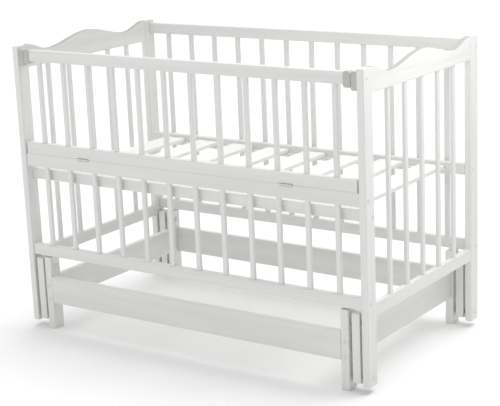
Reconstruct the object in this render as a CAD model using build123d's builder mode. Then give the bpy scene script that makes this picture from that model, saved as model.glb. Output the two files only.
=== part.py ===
from build123d import *
import os

# Baby crib on a pendulum stand, in millimetres.
# Origin on the floor under the middle of the crib, +X towards the right end, front at -Y, +Z up.

# Overall
LENGTH = 1240.0
POST_TOP = 900.0
POST_FOOT = 20.0
POST_WIDE = 22.0
OUT = LENGTH / 2
IN = OUT - POST_WIDE
POST_FRONT = 336.0
POST_DEEP = 46.0
POST_BACK = POST_FRONT - POST_DEEP
POST_MID = POST_FRONT - POST_DEEP / 2
EDGE = 3.0
FINE_EDGE = 2.0

# Upright bars
BAR_WIDE = 17.0
BAR_DEEP = 11.0
BAR_ROUND = 4.0
TENON = 12.0
TENON_END_GAP = 1.0
TENON_PLAY = 0.1
SIDE_BARS = 12
SIDE_PITCH = 95.4
END_BARS = 5
END_PITCH = 96.7

# Long rails
RAIL_THICK = 21.0
RAIL_FACE = POST_FRONT - 4.0
RAIL_MID = RAIL_FACE - RAIL_THICK / 2
BOTTOM_RAIL = (240.0, 275.0)
MIDDLE_RAIL = (528.0, 565.0)
DROP_RAIL = (567.0, 602.0)
TOP_RAIL = (855.5, 890.5)
DROP_RAIL_END = IN - 6.0

# End panels
END_BOARD_LOW = 830.0
END_BOARD_HORN = 901.0
END_BOARD_DIP = 876.0
END_BOARD_HUMP = 908.0
END_DIP_AT = 190.0
END_FACE = OUT - 2.0
END_THICK = 18.0
END_MID = END_FACE - END_THICK / 2
END_RAIL = (214.0, 252.0)
DOWEL_R = 4.0
DOWEL_LONG = 34.0
BOARD_DOWELS = (12.0, 36.0)
RAIL_DOWELS = 9.0

# Slatted base
BASE_RAIL = (482.0, 516.0)
BASE_FACE = POST_BACK
BASE_THICK = 20.0
BASE_MID = BASE_FACE + BASE_THICK / 2
LEDGER = 12.0
SLATS = 8
SLAT_WIDE = 80.0
SLAT_PITCH = 140.5
SLAT_THICK = 12.0
SLAT_TOP = BASE_RAIL[0] + LEDGER + SLAT_THICK
SLAT_SIDE_GAP = 1.0
LEDGER_END = SLAT_PITCH * (SLATS - 1) / 2 + SLAT_WIDE / 2 + 6.0
SLAT_SCREW_R = 1.8
SLAT_SCREW_HEAD_R = 3.8
SLAT_SCREW_HEAD = 2.0
SLAT_SCREW_LONG = 20.0

# Stand
LEG_IN = 530.0
LEG_OUT = 556.0
LEG_FRONT = 334.5
LEG_DEEP = 42.0
LEG_BACK = LEG_FRONT - LEG_DEEP
LEG_TOP = 235.0
STAND_BOARD = (87.0, 173.0)
STAND_THICK = 18.0
STAND_END_FACE = LEG_OUT - 4.0
STAND_LONG_BOLT_Z = (STAND_BOARD[0] + 26.0, STAND_BOARD[1] - 16.0)
STAND_END_BOLT_Z = (STAND_BOARD[0] + 11.0, STAND_BOARD[1] - 31.0)
STAND_X_REACH = LEG_OUT - LEG_IN + 40.0
STAND_Y_REACH = LEG_DEEP + 30.0

# Links and their pivots
LINK_IN = 565.0
LINK_OUT = 590.0
LINK_WIDE = 38.0
LINK_LOW = 26.0
LINK_HIGH = 230.0
LINK_MID_Z = (LINK_LOW + LINK_HIGH) / 2
PIVOT_LOW = 45.0
PIVOT_HIGH = 203.0
PIN_R = 5.0
PIN_PLAY = 0.05
BUSH_R = 8.0
BUSH_FLANGE_R = 11.0
BUSH_FLANGE = 1.5
NUT_R = 8.0
NUT_THICK = 5.0
WASHER_R = 9.5
PIVOT_GAP = 1.0
UPPER_PIN_OUT = LINK_OUT + BUSH_FLANGE + PIVOT_GAP
UPPER_WASHER = LINK_IN - BUSH_FLANGE - LEG_OUT - PIVOT_GAP
LOWER_PIN_IN = LINK_IN - BUSH_FLANGE - PIVOT_GAP
LOWER_WASHER = IN - LINK_OUT - BUSH_FLANGE - PIVOT_GAP

# Furniture bolts
BOLT_R = 3.0
BOLT_PLAY = 0.1
CAP_R = 6.0
CAP_THICK = 1.5
BOLT_REACH = 58.0
BARREL_R = 5.0
BARREL_BACK = 8.0
BARREL_FLOOR = 3.0
BARREL_SUNK = 2.0
BARREL_AT = OUT - BOLT_REACH + BARREL_BACK

# Drop-side hinges
HINGE_X = 366.0
HINGE_LONG = 42.0
HINGE_Y = -(RAIL_FACE + 0.7)
HINGE_Z = (MIDDLE_RAIL[1] + DROP_RAIL[0]) / 2
KNUCKLE_R = 3.1
KNUCKLE_MID = 16.0
KNUCKLE_GAP = 0.5
HINGE_PIN_R = 1.5
LEAF_THICK = 0.9
LEAF_DEEP = 16.0
HINGE_RECESS = 4.5
HINGE_SCREW_R = 1.6
HINGE_SCREW_HEAD_R = 2.8
HINGE_SCREW_LONG = 15.0
HINGE_SCREW_PITCH = 26.0
HINGE_SCREW_SEAT = 0.1

# Corner latches
LATCH_IN = 556.0
LATCH_OUT = 578.0
LATCH_LOW = 848.0
LATCH_HIGH = 892.0
LATCH_FACE = RAIL_FACE + 1.0
LATCH_DEEP = 23.0
LATCH_CHAMFER = 4.0
LATCH_Z = 871.0
LATCH_WALL = 2.0
LATCH_BOLT_R = 5.0
LATCH_BORE_R = 5.3
LATCH_REACH = 5.5
LATCH_TRAVEL = 6.5
LATCH_EDGE = 1.2
LATCH_BOLT_LONG = 13.0
LATCH_NOSE = 1.5
BOLT_INNER = LATCH_OUT + LATCH_REACH - LATCH_BOLT_LONG
TAB_R = 2.2
TAB_X = BOLT_INNER + TAB_R + 0.8
TAB_REACH = 8.0
TAB_PLAY = 0.6
KEEPER_GAP = 1.0
KEEPER_IN = LATCH_OUT + KEEPER_GAP
KEEPER_LOW = 841.0
KEEPER_GROOVE = 7.0
KEEPER_GROOVE_HIGH = 13.0
KEEPER_PLAY = 0.4
LATCH_SCREW_INSET = 7.0
LATCH_SCREW_HEAD = 1.4
KEEPER_SCREW_SUNK = 6.0
KEEPER_SCREW_LONG = 14.0
HOUSING_SCREW_LONG = 20.0
HOUSING_SCREW_STEP = 10.0
OUTER_SCREW = (-316.0, 873.0)
OUTER_SCREW_LONG = 31.0
SPRING_R = 3.4
SPRING_WIRE = 0.45
SPRING_TURNS = 4
SPRING_PLAY = 0.1

SIDES = {"left": -1, "right": 1}
RANKS = {"front": -1, "back": 1}


def write(piece, name):
    """Label a finished piece and write it to its own file."""
    piece.part.label = name
    export_step(piece.part, f"parts/{name}.step")


def middle(low, high):
    """Point halfway between two corners."""
    return tuple((a + b) / 2 for a, b in zip(low, high))


def rod_cuts(bores):
    """Cut round bores (start, direction, radius, depth) out of the piece being built."""
    for start, direction, radius, depth in bores:
        with Locations(Plane(origin=start, z_dir=direction)):
            Cylinder(radius, depth, align=(Align.CENTER, Align.CENTER, Align.MIN), mode=Mode.SUBTRACT)


def box_cuts(pockets):
    """Cut square pockets (low corner, high corner) out of the piece being built."""
    for low, high in pockets:
        with Locations(middle(low, high)):
            Box(*[b - a for a, b in zip(low, high)], mode=Mode.SUBTRACT)


def timber(name, low, high, along, edge=EDGE, bores=(), pockets=(), mortises=()):
    """Straight piece of wood between two corners, its long edges rounded."""
    low, high = [min(a, b) for a, b in zip(low, high)], [max(a, b) for a, b in zip(low, high)]
    with BuildPart() as wood:
        with Locations(middle(low, high)):
            Box(*[b - a for a, b in zip(low, high)])
        fillet(wood.edges().filter_by(along), edge)
        rod_cuts(bores)
        box_cuts(pockets)
        for places, mouth, depth, wide, deep in mortises:
            with BuildSketch(Plane.XY.offset(mouth)):
                with Locations(*places):
                    RectangleRounded(wide + 2 * TENON_PLAY, deep + 2 * TENON_PLAY, BAR_ROUND)
            extrude(amount=depth, mode=Mode.SUBTRACT)
    write(wood, name)


def bars(name, places, low, high, wide, deep):
    """Row of upright bars with rounded corners, their ends set into the rails."""
    with BuildPart() as row:
        with BuildSketch(Plane.XY.offset(low - TENON)):
            with Locations(*places):
                RectangleRounded(wide, deep, BAR_ROUND)
        extrude(amount=high - low + 2 * TENON)
    write(row, name)


def rods(name, places, direction, radius, length):
    """Group of plain round rods that start at the places given."""
    with BuildPart() as group:
        with Locations(*[Plane(origin=place, z_dir=direction) for place in places]):
            Cylinder(radius, length, align=(Align.CENTER, Align.CENTER, Align.MIN))
    write(group, name)


def headed_rods(name, seats, radius, length, head_r, head_thick):
    """Group of bolts or screws: each seat is the head's underside and the way the shank runs."""
    with BuildPart() as group:
        for place, direction in seats:
            with Locations(Plane(origin=place, z_dir=direction)):
                Cylinder(radius, length, align=(Align.CENTER, Align.CENTER, Align.MIN))
                Cylinder(head_r, head_thick, align=(Align.CENTER, Align.CENTER, Align.MAX))
    write(group, name)


def mortise_row(places, mouth, upward, wide, deep):
    """Mortises for a row of bars, cut upwards or downwards from the rail's face."""
    depth = TENON + TENON_END_GAP
    return (places, mouth if upward else mouth - depth, depth, wide, deep)


os.makedirs("parts", exist_ok=True)

# ---------------------------------------------------------------- stand
LONG_BOARD_MID = LEG_FRONT - STAND_THICK / 2
END_BOARD_MID = STAND_END_FACE - STAND_THICK / 2
stand_x_bolts = [(LEG_OUT, y * LONG_BOARD_MID, z) for y in (-1, 1) for z in STAND_LONG_BOLT_Z]
stand_y_bolts = [(END_BOARD_MID, y * LEG_FRONT, z) for y in (-1, 1) for z in STAND_END_BOLT_Z]


def leg_bores(side, rank):
    """Bores of one leg: board bolts from both faces and the upper pivot."""
    along_x = [
        ((side * LEG_OUT, y, z), (-side, 0, 0), BOLT_R + BOLT_PLAY, LEG_OUT - LEG_IN)
        for _, y, z in stand_x_bolts
        if y * rank > 0
    ]
    along_y = [
        ((side * x, y, z), (0, -rank, 0), BOLT_R + BOLT_PLAY, LEG_DEEP)
        for x, y, z in stand_y_bolts
        if y * rank > 0
    ]
    pivot = (side * LEG_OUT, rank * POST_MID, PIVOT_HIGH)
    return along_x + along_y + [(pivot, (-side, 0, 0), PIN_R + PIN_PLAY, LEG_OUT - LEG_IN)]


def board_bores(starts, direction, depth, barrel_axis):
    """Bolt bores into the end of a stand board with a blind cross bore for each barrel nut."""
    bores = []
    for start in starts:
        end = Vector(*start) + Vector(*direction) * (depth - BARREL_BACK)
        floor = end - Vector(*barrel_axis) * (STAND_THICK / 2 - BARREL_FLOOR)
        bores.append((start, direction, BOLT_R + BOLT_PLAY, depth))
        bores.append(((floor.X, floor.Y, floor.Z), barrel_axis, BARREL_R, STAND_THICK - BARREL_FLOOR))
    return bores


for side_name, side in SIDES.items():
    for rank_name, rank in RANKS.items():
        with BuildPart() as leg:
            with Locations((side * (LEG_IN + LEG_OUT) / 2, rank * (LEG_FRONT - LEG_DEEP / 2), LEG_TOP / 2)):
                Box(LEG_OUT - LEG_IN, LEG_DEEP, LEG_TOP)
            fillet(leg.edges().filter_by(Axis.Z), EDGE)
            fillet(leg.faces().sort_by(Axis.Z)[-1].edges(), EDGE)
            rod_cuts(leg_bores(side, rank))
        write(leg, f"stand_leg_{rank_name}_{side_name}")

for rank_name, rank in RANKS.items():
    starts = [(side * LEG_IN, rank * LONG_BOARD_MID, z) for side in (-1, 1) for z in STAND_LONG_BOLT_Z]
    depth = STAND_X_REACH - (LEG_OUT - LEG_IN)
    bores = []
    for start in starts:
        bores += board_bores([start], (1 if start[0] < 0 else -1, 0, 0), depth, (0, 1, 0))
    timber(
        f"stand_{rank_name}_board",
        (-LEG_IN, rank * LEG_FRONT, STAND_BOARD[0]),
        (LEG_IN, rank * (LEG_FRONT - STAND_THICK), STAND_BOARD[1]),
        Axis.X,
        bores=bores,
    )

for side_name, side in SIDES.items():
    depth = STAND_Y_REACH - LEG_DEEP
    bores = []
    for rank in (-1, 1):
        starts = [(side * END_BOARD_MID, rank * LEG_BACK, z) for z in STAND_END_BOLT_Z]
        bores += board_bores(starts, (0, -rank, 0), depth, (-1, 0, 0))
    timber(
        f"stand_{side_name}_board",
        (side * STAND_END_FACE, -LEG_BACK, STAND_BOARD[0]),
        (side * (STAND_END_FACE - STAND_THICK), LEG_BACK, STAND_BOARD[1]),
        Axis.Y,
        bores=bores,
    )

stand_seats = []
barrel_places_y = []
barrel_places_x = []
for side in (-1, 1):
    for x, y, z in stand_x_bolts:
        stand_seats.append(((side * x, y, z), (-side, 0, 0)))
        barrel_x = side * (x - STAND_X_REACH + BARREL_BACK)
        barrel_places_y.append((barrel_x, y - STAND_THICK / 2 + BARREL_FLOOR, z))
    for x, y, z in stand_y_bolts:
        inward = -1 if y > 0 else 1
        stand_seats.append(((side * x, y, z), (0, inward, 0)))
        barrel_y = y + inward * (STAND_Y_REACH - BARREL_BACK)
        barrel_places_x.append((side * x + STAND_THICK / 2 - BARREL_FLOOR, barrel_y, z))

with BuildPart() as stand_bolts:
    for place, direction in stand_seats:
        reach = STAND_X_REACH if direction[0] else STAND_Y_REACH
        with Locations(Plane(origin=place, z_dir=direction)):
            Cylinder(BOLT_R, reach - BARREL_BACK - BARREL_R, align=(Align.CENTER, Align.CENTER, Align.MIN))
            Cylinder(CAP_R, CAP_THICK, align=(Align.CENTER, Align.CENTER, Align.MAX))
write(stand_bolts, "stand_bolts")

stand_barrel_long = STAND_THICK - BARREL_FLOOR - BARREL_SUNK
with BuildPart() as stand_barrel_nuts:
    with Locations(*[Plane(origin=place, z_dir=(0, 1, 0)) for place in barrel_places_y]):
        Cylinder(BARREL_R, stand_barrel_long, align=(Align.CENTER, Align.CENTER, Align.MIN))
    with Locations(*[Plane(origin=place, z_dir=(-1, 0, 0)) for place in barrel_places_x]):
        Cylinder(BARREL_R, stand_barrel_long, align=(Align.CENTER, Align.CENTER, Align.MIN))
write(stand_barrel_nuts, "stand_barrel_nuts")

# ---------------------------------------------------------------- links and pivots

for rank_name, rank in RANKS.items():
    pivots = [(side, z) for side in (-1, 1) for z in (PIVOT_LOW, PIVOT_HIGH)]
    with BuildPart() as links:
        link_x = (LINK_IN + LINK_OUT) / 2
        with Locations(*[(side * link_x, rank * POST_MID, LINK_MID_Z) for side in (-1, 1)]):
            Box(LINK_OUT - LINK_IN, LINK_WIDE, LINK_HIGH - LINK_LOW)
        fillet(links.edges().filter_by(Axis.X), 2 * EDGE)
        rod_cuts(
            [
                ((side * LINK_IN, rank * POST_MID, z), (side, 0, 0), BUSH_R, LINK_OUT - LINK_IN)
                for side, z in pivots
            ]
        )
    write(links, f"{rank_name}_links")

    with BuildPart() as bushes:
        for side, z in pivots:
            with Locations(Plane(origin=(side * LINK_IN, rank * POST_MID, z), z_dir=(side, 0, 0))):
                Cylinder(BUSH_R, LINK_OUT - LINK_IN, align=(Align.CENTER, Align.CENTER, Align.MIN))
                Cylinder(BUSH_FLANGE_R, BUSH_FLANGE, align=(Align.CENTER, Align.CENTER, Align.MAX))
            with Locations(Plane(origin=(side * LINK_OUT, rank * POST_MID, z), z_dir=(side, 0, 0))):
                Cylinder(BUSH_FLANGE_R, BUSH_FLANGE, align=(Align.CENTER, Align.CENTER, Align.MIN))
        rod_cuts(
            [
                (
                    (side * (LINK_IN - BUSH_FLANGE), rank * POST_MID, z),
                    (side, 0, 0),
                    PIN_R + PIN_PLAY,
                    LINK_OUT - LINK_IN + 2 * BUSH_FLANGE,
                )
                for side, z in pivots
            ]
        )
    write(bushes, f"{rank_name}_link_bushes")

CORNERS = [(side, rank) for side in (-1, 1) for rank in (-1, 1)]

with BuildPart() as upper_pivot_bolts:
    for side, rank in CORNERS:
        head = (side * UPPER_PIN_OUT, rank * POST_MID, PIVOT_HIGH)
        shank = UPPER_PIN_OUT - LEG_IN + NUT_THICK
        with Locations(Plane(origin=head, z_dir=(-side, 0, 0))):
            Cylinder(PIN_R, shank, align=(Align.CENTER, Align.CENTER, Align.MIN))
            Cylinder(NUT_R, BUSH_FLANGE, align=(Align.CENTER, Align.CENTER, Align.MAX))
write(upper_pivot_bolts, "upper_pivot_bolts")

with BuildPart() as lower_pivot_bolts:
    for side, rank in CORNERS:
        with Locations(Plane(origin=(side * OUT, rank * POST_MID, PIVOT_LOW), z_dir=(-side, 0, 0))):
            Cylinder(PIN_R, OUT - LOWER_PIN_IN + NUT_THICK, align=(Align.CENTER, Align.CENTER, Align.MIN))
            Cylinder(CAP_R, CAP_THICK, align=(Align.CENTER, Align.CENTER, Align.MAX))
write(lower_pivot_bolts, "lower_pivot_bolts")


def collars(name, face_x, z, radius, thick, outward, hexagon):
    """Nuts or spacer washers round the four pivot bolts at one height."""
    with BuildPart() as group:
        for side, rank in CORNERS:
            seat = Plane(origin=(side * face_x, rank * POST_MID, z), z_dir=(side * outward, 0, 0))
            with BuildSketch(seat):
                if hexagon:
                    RegularPolygon(radius, 6)
                else:
                    Circle(radius)
                Circle(PIN_R + PIN_PLAY, mode=Mode.SUBTRACT)
            extrude(amount=thick)
    write(group, name)


collars("upper_pivot_nuts", LEG_IN, PIVOT_HIGH, NUT_R, NUT_THICK, -1, True)
collars("upper_pivot_spacers", LEG_OUT, PIVOT_HIGH, WASHER_R, UPPER_WASHER, 1, False)
collars("lower_pivot_nuts", LOWER_PIN_IN, PIVOT_LOW, NUT_R, NUT_THICK, -1, True)
collars("lower_pivot_spacers", IN, PIVOT_LOW, WASHER_R, LOWER_WASHER, -1, False)

# ---------------------------------------------------------------- frame bolts of the cot body
front_bolt_heights = [(-RAIL_MID, sum(BOTTOM_RAIL) / 2), (-RAIL_MID, sum(MIDDLE_RAIL) / 2)]
back_bolt_heights = [(RAIL_MID, sum(BOTTOM_RAIL) / 2), (RAIL_MID, sum(TOP_RAIL) / 2)]
base_bolt_heights = [(y * BASE_MID, sum(BASE_RAIL) / 2) for y in (-1, 1)]


def rail_end_bores(y, z):
    """Bolt bore and blind barrel-nut bore at both ends of a long rail."""
    bores = []
    for side in (-1, 1):
        bores.append(((side * IN, y, z), (-side, 0, 0), BOLT_R + BOLT_PLAY, BOLT_REACH - POST_WIDE))
        floor = (side * BARREL_AT, y - RAIL_THICK / 2 + BARREL_FLOOR, z)
        bores.append((floor, (0, 1, 0), BARREL_R, RAIL_THICK - BARREL_FLOOR))
    return bores


# ---------------------------------------------------------------- posts
keeper_screw_z = [LATCH_LOW + LATCH_SCREW_INSET, LATCH_HIGH - LATCH_SCREW_INSET]
dowel_heights = [END_BOARD_LOW + up for up in BOARD_DOWELS]
dowel_heights += [END_RAIL[0] + RAIL_DOWELS, END_RAIL[1] - RAIL_DOWELS]
dowel_places = [(END_MID, rank * POST_BACK, z) for rank in (-1, 1) for z in dowel_heights]
DOWEL_BORE = (DOWEL_R + TENON_PLAY, DOWEL_LONG / 2 + TENON_END_GAP)

for side_name, side in SIDES.items():
    for rank_name, rank in RANKS.items():
        heights = [p for p in front_bolt_heights + back_bolt_heights + base_bolt_heights if p[0] * rank > 0]
        bores = [((side * OUT, y, z), (-side, 0, 0), BOLT_R + BOLT_PLAY, POST_WIDE) for y, z in heights]
        bores.append(((side * OUT, rank * POST_MID, PIVOT_LOW), (-side, 0, 0), PIN_R + PIN_PLAY, POST_WIDE))
        bores += [((side * x, y, z), (0, rank, 0), *DOWEL_BORE) for x, y, z in dowel_places if y * rank > 0]
        if rank < 0:
            bores += [
                ((side * IN, -POST_MID, z), (side, 0, 0), HINGE_SCREW_R + BOLT_PLAY, KEEPER_SCREW_LONG)
                for z in keeper_screw_z
            ]
            bores.append(((side * OUT, *OUTER_SCREW), (-side, 0, 0), HINGE_SCREW_R + BOLT_PLAY, POST_WIDE))
        timber(
            f"post_{rank_name}_{side_name}",
            (side * IN, rank * POST_BACK, POST_FOOT),
            (side * OUT, rank * POST_FRONT, POST_TOP),
            Axis.Z,
            bores=bores,
        )

# ---------------------------------------------------------------- end panels
end_bar_y = [(i - (END_BARS - 1) / 2) * END_PITCH for i in range(END_BARS)]

for side_name, side in SIDES.items():
    places = [(side * END_MID, y) for y in end_bar_y]
    inner = side * (END_FACE - END_THICK)
    inward_bores = [((side * x, y, z), (0, -1 if y > 0 else 1, 0), *DOWEL_BORE) for x, y, z in dowel_places]

    with BuildPart() as end_board:
        with BuildSketch(Plane.YZ.offset(min(inner, side * END_FACE))):
            with BuildLine():
                for way in (-1, 1):
                    dip = (way * END_DIP_AT, END_BOARD_DIP)
                    Line((0, END_BOARD_LOW), (way * POST_BACK, END_BOARD_LOW))
                    Line((way * POST_BACK, END_BOARD_LOW), (way * POST_BACK, END_BOARD_HORN))
                    Spline((way * POST_BACK, END_BOARD_HORN), dip, tangents=((-way, 0), (-way, 0)))
                    Spline(dip, (0, END_BOARD_HUMP), tangents=((-way, 0), (-way, 0)))
            make_face()
        extrude(amount=END_THICK)
        wavy = end_board.edges().filter_by(Plane.YZ).filter_by(lambda e: e.center().Z > END_BOARD_DIP - 1.0)
        fillet(wavy.filter_by(GeomType.BSPLINE), EDGE)
        with BuildSketch(Plane.XY.offset(END_BOARD_LOW)):
            with Locations(*places):
                RectangleRounded(BAR_DEEP + 2 * TENON_PLAY, BAR_WIDE + 2 * TENON_PLAY, BAR_ROUND)
        extrude(amount=TENON + TENON_END_GAP, mode=Mode.SUBTRACT)
        rod_cuts([bore for bore in inward_bores if bore[0][2] > END_BOARD_LOW])
    write(end_board, f"end_board_{side_name}")

    timber(
        f"end_rail_{side_name}",
        (inner, -POST_BACK, END_RAIL[0]),
        (side * END_FACE, POST_BACK, END_RAIL[1]),
        Axis.Y,
        bores=[bore for bore in inward_bores if bore[0][2] < END_BOARD_LOW],
        mortises=[mortise_row(places, END_RAIL[1], False, BAR_DEEP, BAR_WIDE)],
    )

bars("end_bars", [(side * END_MID, y) for side in (-1, 1) for y in end_bar_y], END_RAIL[1], END_BOARD_LOW,
     BAR_DEEP, BAR_WIDE)
dowels = [(side * x, y - DOWEL_LONG / 2, z) for side in (-1, 1) for x, y, z in dowel_places]
rods("end_panel_dowels", dowels, (0, 1, 0), DOWEL_R, DOWEL_LONG)

# ---------------------------------------------------------------- long rails and bars
side_bar_x = [(i - (SIDE_BARS - 1) / 2) * SIDE_PITCH for i in range(SIDE_BARS)]
front_bars = [(x, -RAIL_MID) for x in side_bar_x]
back_bars = [(x, RAIL_MID) for x in side_bar_x]


def long_rail(name, y, heights, ends, bolted, mortises, bores=(), pockets=()):
    """Long rail centred on y with rounded edges."""
    all_bores = list(bores)
    if bolted:
        all_bores += rail_end_bores(y, sum(heights) / 2)
    timber(
        name,
        (-ends, y - RAIL_THICK / 2, heights[0]),
        (ends, y + RAIL_THICK / 2, heights[1]),
        Axis.X,
        bores=all_bores,
        pockets=pockets,
        mortises=mortises,
    )


hinge_screws = [
    (hinge * HINGE_X + step * HINGE_SCREW_PITCH / 2, -(RAIL_FACE - LEAF_DEEP / 2))
    for hinge in (-1, 1)
    for step in (-1, 1)
]
hinge_recess_low = [
    ((h * HINGE_X - HINGE_LONG / 2 - KNUCKLE_GAP, -POST_FRONT, HINGE_Z - HINGE_RECESS),
     (h * HINGE_X + HINGE_LONG / 2 + KNUCKLE_GAP, HINGE_Y + HINGE_RECESS, HINGE_Z))
    for h in (-1, 1)
]
hinge_recess_high = [
    ((a[0], a[1], HINGE_Z), (b[0], b[1], HINGE_Z + HINGE_RECESS)) for a, b in hinge_recess_low
]

long_rail("back_top_rail", RAIL_MID, TOP_RAIL, IN, True,
          [mortise_row(back_bars, TOP_RAIL[0], True, BAR_WIDE, BAR_DEEP)])
long_rail("back_bottom_rail", RAIL_MID, BOTTOM_RAIL, IN, True,
          [mortise_row(back_bars, BOTTOM_RAIL[1], False, BAR_WIDE, BAR_DEEP)])
long_rail("front_bottom_rail", -RAIL_MID, BOTTOM_RAIL, IN, True,
          [mortise_row(front_bars, BOTTOM_RAIL[1], False, BAR_WIDE, BAR_DEEP)])
long_rail("front_middle_rail", -RAIL_MID, MIDDLE_RAIL, IN, True,
          [mortise_row(front_bars, MIDDLE_RAIL[0], True, BAR_WIDE, BAR_DEEP)],
          bores=[((x, y, MIDDLE_RAIL[1]), (0, 0, -1), HINGE_SCREW_R + BOLT_PLAY, HINGE_SCREW_LONG)
                 for x, y in hinge_screws],
          pockets=hinge_recess_low)
long_rail("drop_side_bottom_rail", -RAIL_MID, DROP_RAIL, DROP_RAIL_END, False,
          [mortise_row(front_bars, DROP_RAIL[1], False, BAR_WIDE, BAR_DEEP)],
          bores=[((x, y, DROP_RAIL[0]), (0, 0, 1), HINGE_SCREW_R + BOLT_PLAY, HINGE_SCREW_LONG)
                 for x, y in hinge_screws],
          pockets=hinge_recess_high)

housing_screw_z = [LATCH_Z - HOUSING_SCREW_STEP, LATCH_Z + HOUSING_SCREW_STEP]
long_rail("drop_side_top_rail", -RAIL_MID, TOP_RAIL, LATCH_IN, False,
          [mortise_row(front_bars, TOP_RAIL[0], True, BAR_WIDE, BAR_DEEP)],
          bores=[((side * LATCH_IN, -RAIL_MID, z), (-side, 0, 0), HINGE_SCREW_R + BOLT_PLAY,
                  HOUSING_SCREW_LONG) for side in (-1, 1) for z in housing_screw_z])

bars("back_bars", back_bars, BOTTOM_RAIL[1], TOP_RAIL[0], BAR_WIDE, BAR_DEEP)
bars("front_lower_bars", front_bars, BOTTOM_RAIL[1], MIDDLE_RAIL[0], BAR_WIDE, BAR_DEEP)
bars("drop_side_bars", front_bars, DROP_RAIL[1], TOP_RAIL[0], BAR_WIDE, BAR_DEEP)

# ---------------------------------------------------------------- slatted base
slat_x = [(i - (SLATS - 1) / 2) * SLAT_PITCH for i in range(SLATS)]
slat_screws = [(x, rank * (BASE_FACE - LEDGER / 2)) for x in slat_x for rank in (-1, 1)]

for rank_name, rank in RANKS.items():
    timber(
        f"base_rail_{rank_name}",
        (-IN, rank * BASE_FACE, BASE_RAIL[0]),
        (IN, rank * (BASE_FACE + BASE_THICK), BASE_RAIL[1]),
        Axis.X,
        edge=FINE_EDGE,
        bores=rail_end_bores(rank * BASE_MID, sum(BASE_RAIL) / 2),
    )

with BuildPart() as ledger_strips:
    for rank in (-1, 1):
        with Locations((0, rank * (BASE_FACE - LEDGER / 2), BASE_RAIL[0] + LEDGER / 2)):
            Box(2 * LEDGER_END, LEDGER, LEDGER)
    rod_cuts([((x, y, BASE_RAIL[0] + LEDGER), (0, 0, -1), SLAT_SCREW_R + BOLT_PLAY, LEDGER)
              for x, y in slat_screws])
write(ledger_strips, "ledger_strips")

with BuildPart() as slats:
    for x in slat_x:
        with Locations((x, 0, SLAT_TOP - SLAT_THICK / 2)):
            Box(SLAT_WIDE, 2 * (BASE_FACE - SLAT_SIDE_GAP), SLAT_THICK)
    fillet(slats.edges().filter_by(Axis.Y), FINE_EDGE)
    rod_cuts([((x, y, SLAT_TOP), (0, 0, -1), SLAT_SCREW_R + BOLT_PLAY, SLAT_THICK) for x, y in slat_screws])
    rod_cuts([((x, y, SLAT_TOP), (0, 0, -1), SLAT_SCREW_HEAD_R + BOLT_PLAY, SLAT_SCREW_HEAD)
              for x, y in slat_screws])
write(slats, "slats")

headed_rods("slat_screws", [((x, y, SLAT_TOP - SLAT_SCREW_HEAD), (0, 0, -1)) for x, y in slat_screws],
            SLAT_SCREW_R, SLAT_SCREW_LONG, SLAT_SCREW_HEAD_R, SLAT_SCREW_HEAD)

frame_points = front_bolt_heights + back_bolt_heights + base_bolt_heights
bolt_long = BOLT_REACH - BARREL_BACK - BARREL_R
frame_seats = [((side * OUT, y, z), (-side, 0, 0)) for side in (-1, 1) for y, z in frame_points]
headed_rods("frame_bolts", frame_seats, BOLT_R, bolt_long, CAP_R, CAP_THICK)
barrel_floors = [
    (side * BARREL_AT, y - RAIL_THICK / 2 + BARREL_FLOOR, z) for side in (-1, 1) for y, z in frame_points
]
rods("frame_barrel_nuts", barrel_floors, (0, 1, 0), BARREL_R, RAIL_THICK - BARREL_FLOOR - BARREL_SUNK)

# ---------------------------------------------------------------- hinges of the drop side
knuckle_side = (HINGE_LONG - KNUCKLE_MID) / 2 - KNUCKLE_GAP


def knuckles(spans, leaf_low):
    """One leaf of both hinges: knuckles round the axis and a plate let into the seam."""
    with BuildPart() as leaf:
        for hinge in (-1, 1):
            centre = hinge * HINGE_X
            plate_back = -(RAIL_FACE - LEAF_DEEP)
            with Locations((centre, (HINGE_Y + HINGE_RECESS + plate_back) / 2, leaf_low + LEAF_THICK / 2)):
                Box(HINGE_LONG, plate_back - HINGE_Y - HINGE_RECESS, LEAF_THICK)
            for start, length in spans:
                with Locations(Plane(origin=(centre + start, HINGE_Y, HINGE_Z), z_dir=(1, 0, 0))):
                    Cylinder(KNUCKLE_R, length, align=(Align.CENTER, Align.CENTER, Align.MIN))
                web = (centre + start + length / 2, HINGE_Y + HINGE_RECESS / 2, leaf_low + LEAF_THICK / 2)
                with Locations(web):
                    Box(length, HINGE_RECESS, LEAF_THICK)
            pin_start = (centre - HINGE_LONG / 2, HINGE_Y, HINGE_Z)
            rod_cuts([(pin_start, (1, 0, 0), HINGE_PIN_R + PIN_PLAY, HINGE_LONG)])
        rod_cuts([((x, y, leaf_low), (0, 0, 1), HINGE_SCREW_HEAD_R + BOLT_PLAY, LEAF_THICK)
                  for x, y in hinge_screws])
    return leaf


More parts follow.
